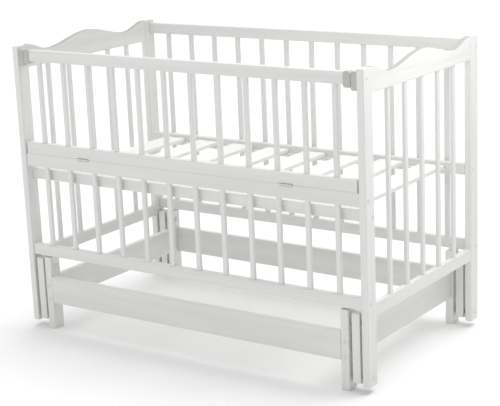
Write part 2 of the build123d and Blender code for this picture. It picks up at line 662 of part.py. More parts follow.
outer_spans = [(-HINGE_LONG / 2, knuckle_side), (HINGE_LONG / 2 - knuckle_side, knuckle_side)]
write(knuckles(outer_spans, MIDDLE_RAIL[1]), "hinge_lower_leaves")
write(knuckles([(-KNUCKLE_MID / 2, KNUCKLE_MID)], DROP_RAIL[0] - LEAF_THICK), "hinge_upper_leaves")
rods("hinge_pins", [(h * HINGE_X - HINGE_LONG / 2, HINGE_Y, HINGE_Z) for h in (-1, 1)], (1, 0, 0),
     HINGE_PIN_R, HINGE_LONG)
screw_seat = LEAF_THICK - HINGE_SCREW_SEAT
headed_rods("hinge_lower_screws", [((x, y, MIDDLE_RAIL[1]), (0, 0, -1)) for x, y in hinge_screws],
            HINGE_SCREW_R, HINGE_SCREW_LONG - TENON_END_GAP, HINGE_SCREW_HEAD_R, screw_seat)
headed_rods("hinge_upper_screws", [((x, y, DROP_RAIL[0]), (0, 0, 1)) for x, y in hinge_screws],
            HINGE_SCREW_R, HINGE_SCREW_LONG - TENON_END_GAP, HINGE_SCREW_HEAD_R, screw_seat)

# ---------------------------------------------------------------- corner latches
latch_y = -RAIL_MID
latch_mid_y = -LATCH_FACE + LATCH_DEEP / 2
slot_low = TAB_X - LATCH_TRAVEL - TAB_R - TAB_PLAY
slot_high = TAB_X + TAB_R + TAB_PLAY
groove_low = LATCH_Z - KEEPER_GROOVE_HIGH / 2

for side_name, side in SIDES.items():
    out = (side, 0, 0)
    with BuildPart() as housing:
        with Locations((side * (LATCH_IN + LATCH_OUT) / 2, latch_mid_y, (LATCH_LOW + LATCH_HIGH) / 2)):
            Box(LATCH_OUT - LATCH_IN, LATCH_DEEP, LATCH_HIGH - LATCH_LOW)
        chamfer(housing.edges().filter_by(Axis.Y), LATCH_CHAMFER)
        fillet(housing.faces().sort_by(Axis.Y)[0].edges(), LATCH_EDGE)
        bore_start = (side * (LATCH_IN + LATCH_WALL), latch_y, LATCH_Z)
        rod_cuts([(bore_start, out, LATCH_BORE_R, LATCH_OUT - LATCH_IN)])
        with Locations((side * (slot_low + slot_high) / 2, latch_y + LATCH_DEEP / 2, LATCH_Z)):
            Box(slot_high - slot_low, LATCH_DEEP, 2 * (TAB_R + TAB_PLAY), mode=Mode.SUBTRACT)
        rod_cuts([((side * LATCH_IN, latch_y, z), out, HINGE_SCREW_R + BOLT_PLAY, LATCH_WALL)
                  for z in housing_screw_z])
        rod_cuts([((side * (LATCH_IN + LATCH_WALL), latch_y, z), out, HINGE_SCREW_HEAD_R + BOLT_PLAY,
                   LATCH_OUT - LATCH_IN) for z in housing_screw_z])
    write(housing, f"latch_housing_{side_name}")

    with BuildPart() as latch_bolt:
        with Locations(Plane(origin=(side * BOLT_INNER, latch_y, LATCH_Z), z_dir=out)):
            Cylinder(LATCH_BOLT_R, LATCH_BOLT_LONG, align=(Align.CENTER, Align.CENTER, Align.MIN))
        tip = latch_bolt.edges().sort_by(Axis.X)[-1 if side > 0 else 0]
        fillet(tip, LATCH_NOSE)
        with Locations(Plane(origin=(side * TAB_X, latch_y, LATCH_Z), z_dir=(0, 1, 0))):
            Cylinder(TAB_R, LATCH_DEEP / 2 + TAB_REACH, align=(Align.CENTER, Align.CENTER, Align.MIN))
    write(latch_bolt, f"latch_bolt_{side_name}")

    with BuildPart() as keeper:
        with Locations((side * (KEEPER_IN + IN) / 2, latch_mid_y, (KEEPER_LOW + LATCH_HIGH) / 2)):
            Box(IN - KEEPER_IN, LATCH_DEEP, LATCH_HIGH - KEEPER_LOW)
        inner_edges = keeper.edges().filter_by(Axis.Y).sort_by(Axis.X)
        chamfer(inner_edges[:2] if side > 0 else inner_edges[2:], LATCH_CHAMFER)
        fillet(keeper.faces().sort_by(Axis.Y)[0].edges(), LATCH_EDGE)
        groove_x = sorted((side * KEEPER_IN, side * (KEEPER_IN + KEEPER_GROOVE)))
        box_cuts([((groove_x[0], -POST_FRONT, groove_low),
                   (groove_x[1], latch_y + LATCH_BOLT_R + KEEPER_PLAY, groove_low + KEEPER_GROOVE_HIGH))])
        rod_cuts([((side * KEEPER_IN, -POST_MID, z), out, HINGE_SCREW_HEAD_R + BOLT_PLAY, KEEPER_SCREW_SUNK)
                  for z in keeper_screw_z])
        rod_cuts([((side * KEEPER_IN, -POST_MID, z), out, HINGE_SCREW_R + BOLT_PLAY, IN - KEEPER_IN)
                  for z in keeper_screw_z])
        rod_cuts([((side * IN, *OUTER_SCREW), (-side, 0, 0), HINGE_SCREW_R + BOLT_PLAY,
                   OUTER_SCREW_LONG + TENON_END_GAP - POST_WIDE)])
    write(keeper, f"latch_keeper_{side_name}")

coil_low = LATCH_IN + LATCH_WALL + SPRING_WIRE + SPRING_PLAY
coil_room = BOLT_INNER - LATCH_TRAVEL - coil_low - SPRING_WIRE - 2 * SPRING_PLAY
with BuildPart() as springs:
    for side in (-1, 1):
        with BuildLine():
            coil = Helix(coil_room / SPRING_TURNS, coil_room, SPRING_R,
                         center=(side * coil_low, latch_y, LATCH_Z), direction=(side, 0, 0))
        with BuildSketch(Plane(origin=coil @ 0, z_dir=coil % 0)):
            Circle(SPRING_WIRE)
        sweep(path=coil, is_frenet=True)
write(springs, "latch_springs")

headed_rods("latch_housing_screws",
            [((side * (LATCH_IN + LATCH_WALL), latch_y, z), (-side, 0, 0))
             for side in (-1, 1) for z in housing_screw_z],
            HINGE_SCREW_R, HOUSING_SCREW_LONG, HINGE_SCREW_HEAD_R, LATCH_SCREW_HEAD)

keeper_seat = KEEPER_IN + KEEPER_SCREW_SUNK
with BuildPart() as keeper_screws:
    for side in (-1, 1):
        inner = [(Plane(origin=(side * keeper_seat, -POST_MID, z), z_dir=(side, 0, 0)),
                  IN - keeper_seat + KEEPER_SCREW_LONG - TENON_END_GAP) for z in keeper_screw_z]
        outer = (Plane(origin=(side * OUT, *OUTER_SCREW), z_dir=(-side, 0, 0)), OUTER_SCREW_LONG)
        for seat, length in [*inner, outer]:
            with Locations(seat):
                Cylinder(HINGE_SCREW_R, length, align=(Align.CENTER, Align.CENTER, Align.MIN))
                Cylinder(HINGE_SCREW_HEAD_R, LATCH_SCREW_HEAD, align=(Align.CENTER, Align.CENTER, Align.MAX))
write(keeper_screws, "latch_keeper_screws")
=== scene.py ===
"""Baby crib on a pendulum stand: wood, fittings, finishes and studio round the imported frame."""

import logging
import math
from collections.abc import Callable
from dataclasses import dataclass
from enum import Enum
from typing import NamedTuple

import bpy
import numpy as np
from mathutils import Euler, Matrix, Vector


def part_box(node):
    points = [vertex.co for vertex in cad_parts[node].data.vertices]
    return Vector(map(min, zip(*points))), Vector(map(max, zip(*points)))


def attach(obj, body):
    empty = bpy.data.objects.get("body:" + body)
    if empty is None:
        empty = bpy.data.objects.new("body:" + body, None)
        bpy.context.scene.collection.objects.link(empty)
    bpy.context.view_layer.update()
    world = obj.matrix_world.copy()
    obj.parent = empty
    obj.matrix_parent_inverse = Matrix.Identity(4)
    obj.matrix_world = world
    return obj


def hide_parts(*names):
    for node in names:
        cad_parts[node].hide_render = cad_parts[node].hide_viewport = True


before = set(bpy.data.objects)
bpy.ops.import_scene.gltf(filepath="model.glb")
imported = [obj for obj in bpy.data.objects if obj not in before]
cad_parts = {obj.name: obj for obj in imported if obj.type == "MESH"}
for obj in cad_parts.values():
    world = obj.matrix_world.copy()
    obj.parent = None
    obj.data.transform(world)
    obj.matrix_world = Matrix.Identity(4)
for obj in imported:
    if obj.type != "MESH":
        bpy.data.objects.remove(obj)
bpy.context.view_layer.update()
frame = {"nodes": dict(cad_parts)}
MM = 0.001

# Degrees between two faces above which the edge of a turned or moulded piece stays crisp.
CRISP_ANGLE = 38.0
# Length of the step from a rail's full section to a hinge pocket.
NOTCH_LIP = 0.15 * MM
# How far upward a point's normal leans before it counts as the top edge, and the value it gets in the edge-wear
# channel, which marks that edge for a dark line of painted shade.
SHADE_RIM_LEAN = 0.45
SHADE_RIM_MARK = 2.0
# Points closer than this are one point of a CAD solid.
SAME_POINT = 0.002 * MM
HINGE_LONG = 42.0 * MM
# Keeper screws whose middle is farther out than this go in through the post.
KEEPER_OUTER = 603.0 * MM
# Shift of a texture along each axis from one board to the next.
BOARD_SHIFT = (3.7, 5.3, 2.9)
SIDES = ((-1, "left"), (1, "right"))
RANKS = ((-1, "front"), (1, "back"))
Colour = tuple[float, float, float, float]
log = logging.getLogger("crib")


class Along(Enum):
    """The way a piece of wood runs, as the number of its axis."""

    X = 0
    Y = 1
    Z = 2


class Corner(Enum):
    """Long edge of a rail that a hinge is let into."""

    FRONT_TOP = 1
    FRONT_BOTTOM = 2


class Ring(NamedTuple):
    """One ring of a turned piece: its place along the axis, its radius, and how far it departs from round."""

    at: float
    radius: float
    hexagon: float = 0.0
    recess: float = 0.0
    flute: float = 0.0


# ---------------------------------------------------------------- meshes


@dataclass
class Shell:
    """Closed surface as whole arrays, with a value at each point for edge wear and the painted-shade top edge, and
    one for its own board.
    """

    points: np.ndarray
    quads: np.ndarray
    caps: list[list[int]]
    arris_wear_and_shade: np.ndarray
    board: np.ndarray

    @staticmethod
    def joined(shells: list["Shell"]) -> "Shell":
        """Several shells as one, their point numbers shifted by the points before them.

        Args:
            shells: the closed surfaces.

        Returns:
            One shell of separate closed surfaces.
        """
        starts = np.cumsum([0] + [len(shell.points) for shell in shells[:-1]])
        return Shell(
            np.concatenate([shell.points for shell in shells]),
            np.concatenate([shell.quads + start for shell, start in zip(shells, starts)]),
            [(np.array(cap) + start).tolist() for shell, start in zip(shells, starts) for cap in shell.caps],
            np.concatenate([shell.arris_wear_and_shade for shell in shells]),
            np.concatenate([shell.board for shell in shells]),
        )

    def normals(self) -> np.ndarray:
        """Point normals as the sum of the area vectors of the faces round each point.

        A quad's area vector is half the cross product of its diagonals, and a cap's is the sum of
        the cross products of its edges. Broad flats outweigh the narrow faces of a rounded edge, so
        flats stay flat and edges roll over softly.

        Returns:
            One unit vector for each point.
        """
        total = np.zeros_like(self.points)
        a, b, c, d = (self.points[self.quads[:, i]] for i in range(4))
        area = np.cross(c - a, d - b)
        for i in range(4):
            np.add.at(total, self.quads[:, i], area)
        for cap in self.caps:
            rim = self.points[cap] - self.points[cap].mean(axis=0)
            total[cap] += np.cross(rim, np.roll(rim, -1, axis=0)).sum(axis=0)
        return total / np.maximum(np.linalg.norm(total, axis=1, keepdims=True), 1e-20)

    def piece(self, name: str, body: str, slot: str, nodes: list[str], soft: bool = True) -> bpy.types.Object:
        """Puts the surface into a Blender mesh that rides on a body.

        Args:
            name: the piece's name.
            body: the body that it moves with.
            slot: the record's material slot; not used.
            nodes: the CAD nodes that it stands for.
            soft: whether edges roll over by point normals, or stay crisp above a limit angle.

        Returns:
            The new object, at the origin.
        """
        mesh = bpy.data.meshes.new(name)
        mesh.from_pydata(self.points.tolist(), [], self.quads.tolist() + self.caps, shade_flat=False)
        for label, values in (("arris_wear_and_shade", self.arris_wear_and_shade), ("board", self.board)):
            layer = mesh.attributes.new(label, "FLOAT", "POINT")
            layer.data.foreach_set("value", values.astype(np.float32))
        if soft:
            mesh.normals_split_custom_set_from_vertices(self.normals().tolist())
        else:
            mesh.set_sharp_from_angle(angle=math.radians(CRISP_ANGLE))
        obj = bpy.data.objects.new(name, mesh)
        bpy.context.scene.collection.objects.link(obj)
        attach(obj, body)
        if nodes:
            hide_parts(*nodes)
        log.info("%s: %d faces on %s", name, len(mesh.polygons), body)
        return obj


@dataclass(frozen=True)
class Notch:
    """Square pocket cut into one long edge of a rail, at several places along it."""

    spans: tuple[tuple[float, float], ...]
    corner: Corner
    deep: float
    high: float


@dataclass(frozen=True)
class Timber:
    """Straight piece of wood: a rounded rectangle carried along one axis, its ends eased over.

    At the angle t of a corner's quarter circle the section's point is the corner's centre plus
    radius times (cos t, sin t). Near an end, at the angle p of the easing, the section shrinks by
    end radius times (1 - cos p) while it runs out by end radius times sin p.
    """

    along: Along
    edge: float
    end: float = 1.2 * MM
    steps: int = 4

    def shell(
        self,
        low: Vector,
        high: Vector,
        board: float,
        crown: Callable[[np.ndarray], np.ndarray] | None = None,
        notch: Notch | None = None,
        stations: int = 2,
        rim: bool = False,
    ) -> Shell:
        """Builds the piece between two corners of its box.

        Args:
            low: lowest corner, in metres.
            high: highest corner, in metres.
            board: number of this piece of wood, which shifts its grain.
            crown: top height at each place along the piece, for a shaped top edge.
            notch: pockets in one long edge.
            stations: number of sections between the eased ends.
            rim: whether the top edge is marked for a dark line of painted shade.

        Returns:
            The closed surface.
        """
        w = self.along.value
        u, v = (w + 1) % 3, (w + 2) % 3
        rise = np.linspace(math.pi / 2, 0, self.steps)
        inner = np.linspace(low[w] + self.end, high[w] - self.end, stations)[1:-1]
        if notch is not None:
            edges = np.array(notch.spans)
            inner = np.sort(np.concatenate([edges.ravel(), edges[:, 0] - NOTCH_LIP, edges[:, 1] + NOTCH_LIP]))
        place = np.concatenate(
            [
                low[w] + self.end * (1 - np.sin(rise)),
                inner,
                high[w] - self.end * (1 - np.sin(rise[::-1])),
            ]
        )
        flat = np.zeros_like(inner)
        eased = np.concatenate([rise, flat, rise[::-1]])
        inset = self.end * (1 - np.cos(eased))
        top_u = np.full_like(place, high[u]) if crown is None else crown(place)
        sign_u = np.repeat([1, -1, -1, 1], self.steps + 1)
        sign_v = np.repeat([1, 1, -1, -1], self.steps + 1)
        sweep = np.linspace(0, math.pi / 2, self.steps + 1)
        angle = np.concatenate([quarter * math.pi / 2 + sweep for quarter in range(4)])
        radius = np.maximum(self.edge - inset, 0.25 * self.edge)[:, None]
        mid_u, half_u = (top_u + low[u]) / 2, (top_u - low[u]) / 2
        mid_v, half_v = (high[v] + low[v]) / 2, (high[v] - low[v]) / 2
        run_u = (half_u - inset)[:, None] - radius
        run_v = (half_v - inset)[:, None] - radius
        points = np.empty((len(place), len(angle), 3))
        points[:, :, u] = mid_u[:, None] + sign_u * run_u + radius * np.cos(angle)
        points[:, :, v] = mid_v + sign_v * run_v + radius * np.sin(angle)
        points[:, :, w] = place[:, None]
        if notch is not None:
            self._cut(points, notch, low, high)
        rings, around = points.shape[:2]
        number = np.arange(rings * around).reshape(rings, around)
        after = np.roll(number, -1, axis=1)
        quads = np.stack([number[:-1], after[:-1], after[1:], number[1:]], axis=-1).reshape(-1, 4)
        caps = [number[0, ::-1].tolist(), number[-1].tolist()]
        rolled = np.sin(2 * np.tile(sweep, 4))[None, :]
        worn = np.maximum(rolled, np.sin(2 * np.minimum(eased, math.pi / 2))[:, None]).ravel()
        # Points along the top edge get a mark that the paint turns into a dark line of painted shade.
        if rim:
            shaded_top_edge = (sign_u > 0) & (np.cos(angle) > SHADE_RIM_LEAN)
            worn = np.where(np.tile(shaded_top_edge, rings), SHADE_RIM_MARK, worn)
        return Shell(points.reshape(-1, 3), quads, caps, worn, np.full(rings * around, board))

    def _cut(self, points: np.ndarray, notch: Notch, low: Vector, high: Vector) -> None:
        """Moves one corner of the sections inside a pocket to the pocket's L-shaped outline.

        Args:
            points: sections of the piece, changed in place.
            notch: the pockets.
            low: lowest corner of the piece.
            high: highest corner of the piece.
        """
        first = notch.corner.value * (self.steps + 1)
        part = slice(first, first + self.steps + 1)
        run = np.linspace(0, 2, self.steps + 1)
        near, far = np.clip(run, 0, 1), 1 - np.clip(run - 1, 0, 1)
        place = points[:, 0, Along.X.value]
        spans = np.array(notch.spans)
        inside = ((place[:, None] >= spans[:, 0]) & (place[:, None] <= spans[:, 1])).any(axis=1)
        top = notch.corner is Corner.FRONT_TOP
        points[inside, part, 1] = low[1] + notch.deep * (far if top else near)
        points[inside, part, 2] = high[2] - notch.high * near if top else low[2] + notch.high * far


@dataclass(frozen=True)
class Turning:
    """Round piece: rings of a profile turned about an axis.

    A ring's point at the angle t is centre + at * axis + radius * h(t) * (cos t, sin t). The factor h
    blends from 1 to a hexagon's cos 30 / cos((t mod 60) - 30), and loses flute * (1 + cos(sides / 2 * t))
    / 2. A driver recess sinks the parts of the ring where cos(arms * t) is positive.
    """

    profile: tuple[Ring, ...]
    sides: int = 24
    arms: int = 4
    hollow: bool = False

    def shell(self, centre: tuple[float, float, float], axis: tuple[float, float, float], number: float = 0) -> Shell:
        """Turns the profile about an axis.

        Args:
            centre: point that the profile is measured from, in metres.
            axis: unit vector along the piece.
            number: number of this piece among its kind.

        Returns:
            The closed surface, with its poles closed, or its bore joined when hollow.
        """
        way = np.array(axis, float)
        side = np.cross(way, np.roll(way, 1))
        side /= np.linalg.norm(side)
        up = np.cross(way, side)
        rows = np.array(self.profile)
        angle = np.arange(self.sides) * 2 * math.pi / self.sides
        hexagon = math.cos(math.pi / 6) / np.cos(angle % (math.pi / 3) - math.pi / 6)
        flutes = -0.5 * (1 + np.cos(self.sides / 2 * angle))
        factor = 1 + rows[:, 2:3] * (hexagon - 1) + rows[:, 4:5] * flutes
        reach = rows[:, 1:2] * factor
        sink = rows[:, 3:4] * np.clip(2 * np.cos(self.arms * angle), 0, 1)
        at = rows[:, 0:1] - sink
        ring = reach[..., None] * (np.cos(angle)[:, None] * side + np.sin(angle)[:, None] * up)
        points = np.array(centre) + at[..., None] * way + ring
        count = len(rows)
        number_grid = np.arange(count * self.sides).reshape(count, self.sides)
        after = np.roll(number_grid, -1, axis=1)
        upper, upper_after = number_grid[1:], after[1:]
        lower, lower_after = number_grid[:-1], after[:-1]
        caps: list[list[int]] = []
        if self.hollow:
            upper, upper_after = np.roll(number_grid, -1, axis=0), np.roll(after, -1, axis=0)
            lower, lower_after = number_grid, after
        else:
            caps = [number_grid[0, ::-1].tolist(), number_grid[-1].tolist()]
        quads = np.stack([lower, lower_after, upper_after, upper], axis=-1).reshape(-1, 4)
        total = count * self.sides
        worn = np.repeat((np.abs(np.gradient(rows[:, 1])) > 0.2 * MM).astype(float), self.sides)
        return Shell(points.reshape(-1, 3), quads, caps, worn, np.full(total, float(number)))


def ridges(start: float, stop: float, radius: float, pitch: float, depth: float) -> list[Ring]:
    """Threaded length of a shank: rings that step between the root and the crest.

    Args:
        start: first place along the axis.
        stop: last place along the axis.
        radius: crest radius.
        pitch: distance from crest to crest.
        depth: height of the crest over the root.

    Returns:
        Rings from start to stop.
    """
    places = np.linspace(start, stop, 2 * max(1, round((stop - start) / pitch)) + 1)
    radii = radius - depth * (np.arange(len(places)) % 2 == 0)
    return [Ring(float(at), float(r)) for at, r in zip(places, radii)]


# ---------------------------------------------------------------- shader graphs


class Wire:
    """Number that runs between nodes. Sums on it add Math nodes."""

    def __init__(self, graph: "Graph", socket: bpy.types.NodeSocket) -> None:
        """Keeps the socket and the graph that it is in."""
        self.graph = graph
        self.socket = socket

    def _sum(self, operation: str, first: "Wire | float", second: "Wire | float") -> "Wire":
        """Adds one Math node and returns its result."""
        return self.graph.add("ShaderNodeMath", {"operation": operation}, {0: first, 1: second}).out(0)

    def __add__(self, other: "Wire | float") -> "Wire":
        """The sum of two values."""
        return self._sum("ADD", self, other)

    def __radd__(self, other: float) -> "Wire":
        """The sum of a number and a value."""
        return self._sum("ADD", other, self)

    def __sub__(self, other: "Wire | float") -> "Wire":
        """The difference of two values."""
        return self._sum("SUBTRACT", self, other)

    def __rsub__(self, other: float) -> "Wire":
        """A number less a value."""
        return self._sum("SUBTRACT", other, self)

    def __mul__(self, other: "Wire | float") -> "Wire":
        """The product of two values."""
        return self._sum("MULTIPLY", self, other)

    def __rmul__(self, other: float) -> "Wire":
        """The product of a number and a value."""
        return self._sum("MULTIPLY", other, self)

    def between(self, low: float, high: float) -> "Wire":
        """How far the value is from low to high, from 0 to 1 with soft ends.

        Args:
            low: value that gives 0.
            high: value that gives 1.

        Returns:
            The softened share.
        """
        settings = {"interpolation_type": "SMOOTHSTEP"}
        return self.graph.add("ShaderNodeMapRange", settings, {0: self, 1: low, 2: high}).out(0)


class Added(NamedTuple):
    """Node just added, with its results as wires."""

    graph: "Graph"
    node: bpy.types.Node

    def out(self, key: int | str) -> Wire:
        """One of the node's results."""
        return Wire(self.graph, self.node.outputs[key])


class Graph:
    """Node tree of one material, built from an empty one."""

    def __init__(self, name: str) -> None:
        """Makes the material with its output and surface shader."""
        self.material = bpy.data.materials.new(name)
        self.material.use_nodes = True
        self.tree = self.material.node_tree
        self.tree.nodes.clear()
        self.shader = self.add("ShaderNodeBsdfPrincipled", {}, {})
        self.add("ShaderNodeOutputMaterial", {}, {"Surface": self.shader.out("BSDF")})

    def add(self, kind: str, settings: dict[str, object], inputs: dict[int | str, object]) -> Added:
        """Adds one node: its settings first, then the values and links of its sockets.

        Args:
            kind: node type.
            settings: properties of the node.
            inputs: value or wire for each socket, by name or number.

        Returns:
            The node and its results.
        """
        node = self.tree.nodes.new(kind)
        for key, value in settings.items():
            setattr(node, key, value)
        added = Added(self, node)
        self.feed(added, inputs)
        return added

    def feed(self, added: Added, inputs: dict[int | str, object]) -> None:
        """Sets or links sockets of a node.

        Args:
            added: the node.
            inputs: value or wire for each socket.
        """
        for key, value in inputs.items():
            if isinstance(value, Wire):
                self.tree.links.new(value.socket, added.node.inputs[key])
            else:
                added.node.inputs[key].default_value = value

    def place(self, stretch: tuple[float, float, float]) -> Wire:
        """Object coordinates scaled by the pattern's fineness and shifted by the board's own number.

        Args:
            stretch: pattern cells per metre along each axis.

        Returns:
            The vector to read a texture at.
        """
        here = self.add("ShaderNodeTexCoord", {}, {}).out("Object")
        board = self.attribute("board")
        shift = self.add("ShaderNodeCombineXYZ", {}, {i: board * BOARD_SHIFT[i] for i in range(3)}).out(0)
        return self.add("ShaderNodeVectorMath", {"operation": "MULTIPLY_ADD"}, {0: here, 1: stretch, 2: shift}).out(0)

    def attribute(self, name: str) -> Wire:
        """A value stored at the mesh's points."""
        return self.add("ShaderNodeAttribute", {"attribute_name": name}, {}).out("Fac")

    def noise(self, place: Wire, scale: float, detail: float, rough: float = 0.55) -> Wire:
        """Noise read at a place.

        Args:
            place: vector to read at.
            scale: fineness.
            detail: number of octaves.
            rough: share of the finer octaves.

        Returns:
            The noise, from 0 to 1.
        """
        inputs = {"Vector": place, "Scale": scale, "Detail": detail, "Roughness": rough}
        return self.add("ShaderNodeTexNoise", {}, inputs).out("Fac")

    def blend(self, share: Wire, first: "Wire | tuple", second: "Wire | tuple") -> Wire:
        """Colour between two colours.

        Args:
            share: 0 for the first colour, 1 for the second.
            first: colour at 0.
            second: colour at 1.

        Returns:
            The mixed colour.
        """
        node = self.add("ShaderNodeMix", {"data_type": "RGBA"}, {0: share, 6: first, 7: second})
        return node.out(2)

    def bump(self, height: Wire, distance: float, strength: float) -> None:
        """Feeds a height into the surface normal.

        Args:
            height: height from 0 to 1.
            distance: real height of 1, in metres.
            strength: share of the effect.
        """
        inputs = {"Height": height, "Distance": distance, "Strength": strength}
        self.feed(self.shader, {"Normal": self.add("ShaderNodeBump", {}, inputs).out("Normal")})


@dataclass(frozen=True)
class PaintedWood:
    """Sprayed satin paint over planed wood: long fibres and pores show through it, edges are thinner, and a marked
    top edge gets a dark line of painted shade.
    """

    name: str
    colour: Colour
    shade: Colour
    edge: Colour
    fibre: float
    roughness: float
    grain_per_metre: float = 620.0
    length_per_metre: float = 9.0
    # Painted shade: dark grey of the line along a marked top edge.
    rim: Colour = (0.42, 0.415, 0.40, 1)

    def material(self, along: Along) -> bpy.types.Material:
        """Makes the finish for wood that runs along one axis.

        Args:
            along: direction of the grain.

        Returns:
            The material.
        """
        graph = Graph(f"{self.name}_{along.name.lower()}")
        fine = [self.grain_per_metre] * 3
        fine[along.value] = self.length_per_metre
        broad = [34.0] * 3
        broad[along.value] = 1.6
        fibres = graph.noise(graph.place(tuple(fine)), 1.0, 5.0, 0.62)
        bands = graph.noise(graph.place(tuple(broad)), 1.0, 3.0, 0.5)
        mottle = graph.noise(graph.place((260.0, 260.0, 260.0)), 1.0, 2.0)
        board = graph.noise(graph.place((0.01, 0.01, 0.01)), 1.0, 0.0)
        pores = fibres.between(0.60, 0.74)
        tone = bands.between(0.30, 0.72) * 0.55 + fibres.between(0.35, 0.68) * 0.30 + board.between(0.3, 0.7) * 0.25
        body = graph.blend(tone * self.fibre, self.colour, self.shade)
        worn = graph.attribute("arris_wear_and_shade") * mottle.between(0.38, 0.66)
        worn_and_rim_shade = graph.blend(worn * 0.55, body, self.edge)
        # Painted shade: a marked top edge is blended to the dark rim colour.
        worn_and_rim_shade = graph.blend(graph.attribute("arris_wear_and_shade").between(1.1, SHADE_RIM_MARK), worn_and_rim_shade, self.rim)
        graph.feed(graph.shader, {"Base Color": graph.blend(pores * 0.35 * self.fibre, worn_and_rim_shade, self.shade)})
        rough = self.roughness + 0.10 * (mottle - 0.5) + 0.08 * pores
        graph.feed(graph.shader, {"Roughness": rough, "Coat Weight": 0.12, "Coat Roughness": 0.22})
        height = 0.55 * fibres + 0.30 * bands + 0.15 * mottle - 0.6 * pores
        graph.bump(height, 0.18 * MM, 0.32 * self.fibre)
        return graph.material


@dataclass(frozen=True)
class BareWood:
    """Unpainted dowel wood with darker late-wood lines along it."""

    name: str
    light: Colour
    dark: Colour

    def material(self, along: Along) -> bpy.types.Material:
        """Makes the finish for wood that runs along one axis.

        Args:
            along: direction of the grain.

        Returns:
            The material.
        """
        graph = Graph(f"{self.name}_{along.name.lower()}")
        fine = [900.0] * 3
        fine[along.value] = 22.0
        fibres = graph.noise(graph.place(tuple(fine)), 1.0, 4.0, 0.6)
        graph.feed(graph.shader, {"Base Color": graph.blend(fibres.between(0.3, 0.7), self.light, self.dark)})
        graph.feed(graph.shader, {"Roughness": 0.62 + 0.2 * fibres})
        graph.bump(fibres, 0.15 * MM, 0.5)
        return graph.material


@dataclass(frozen=True)
class MouldedPlastic:
    """Injection-moulded nylon: fine spark texture, faint flow marks, rubbed edges."""

    name: str
    colour: Colour
    rubbed: Colour
    roughness: float

    def material(self) -> bpy.types.Material:
        """Makes the finish.

        Returns:
            The material.
        """
        graph = Graph(self.name)
        grit = graph.noise(graph.place((1800.0, 1800.0, 1800.0)), 1.0, 2.0, 0.6)
        flow = graph.noise(graph.place((40.0, 40.0, 130.0)), 1.0, 3.0)
        rub = graph.noise(graph.place((300.0, 300.0, 300.0)), 1.0, 3.0)
        body = graph.blend(flow.between(0.3, 0.75) * 0.35, self.colour, self.rubbed)
        worn = graph.attribute("arris_wear_and_shade") * 0.5 + rub.between(0.62, 0.78) * 0.35
        graph.feed(graph.shader, {"Base Color": graph.blend(worn, body, self.rubbed)})
        graph.feed(graph.shader, {"Roughness": self.roughness + 0.22 * (grit - 0.5)})
        graph.bump(grit, 0.05 * MM, 0.4)
        return graph.material


@dataclass(frozen=True)
class PlatedSteel:
    """Zinc plate: pale metal with clouded crystals, drawn lines along one axis and dulled edges."""

    name: str
    colour: Colour
    dull: Colour
    roughness: float
    lines_per_metre: float = 2400.0

    def material(self, along: Along) -> bpy.types.Material:
        """Makes the finish for metal drawn along one axis.

        Args:
            along: direction of the drawn lines.

        Returns:
            The material.
        """
        graph = Graph(f"{self.name}_{along.name.lower()}")
        drawn = [self.lines_per_metre] * 3
        drawn[along.value] = 60.0
        lines = graph.noise(graph.place(tuple(drawn)), 1.0, 2.0)
        cloud = graph.noise(graph.place((420.0, 420.0, 420.0)), 1.0, 4.0, 0.65)
        worn = graph.attribute("arris_wear_and_shade") * cloud.between(0.35, 0.6)
        body = graph.blend(cloud.between(0.35, 0.7) * 0.6, self.colour, self.dull)
        graph.feed(graph.shader, {"Base Color": graph.blend(worn * 0.4, body, self.dull), "Metallic": 0.9})
        graph.feed(graph.shader, {"Roughness": self.roughness + 0.16 * cloud + 0.08 * (lines - 0.5)})
        graph.bump(0.6 * lines + 0.4 * cloud, 0.02 * MM, 0.35)
        return graph.material


@dataclass(frozen=True)
class StudioPaper:
    """Matt white paper of the studio floor, with a barely seen fibre."""

    name: str
    colour: Colour
    shade: Colour

    def material(self) -> bpy.types.Material:
        """Makes the finish.

        Returns:
            The material.
        """
        graph = Graph(self.name)
        fibre = graph.noise(graph.place((90.0, 90.0, 90.0)), 1.0, 5.0)
        graph.feed(graph.shader, {"Base Color": graph.blend(fibre, self.colour, self.shade), "Roughness": 0.9})
        graph.feed(graph.shader, {"Specular IOR Level": 0.1})
        return graph.material


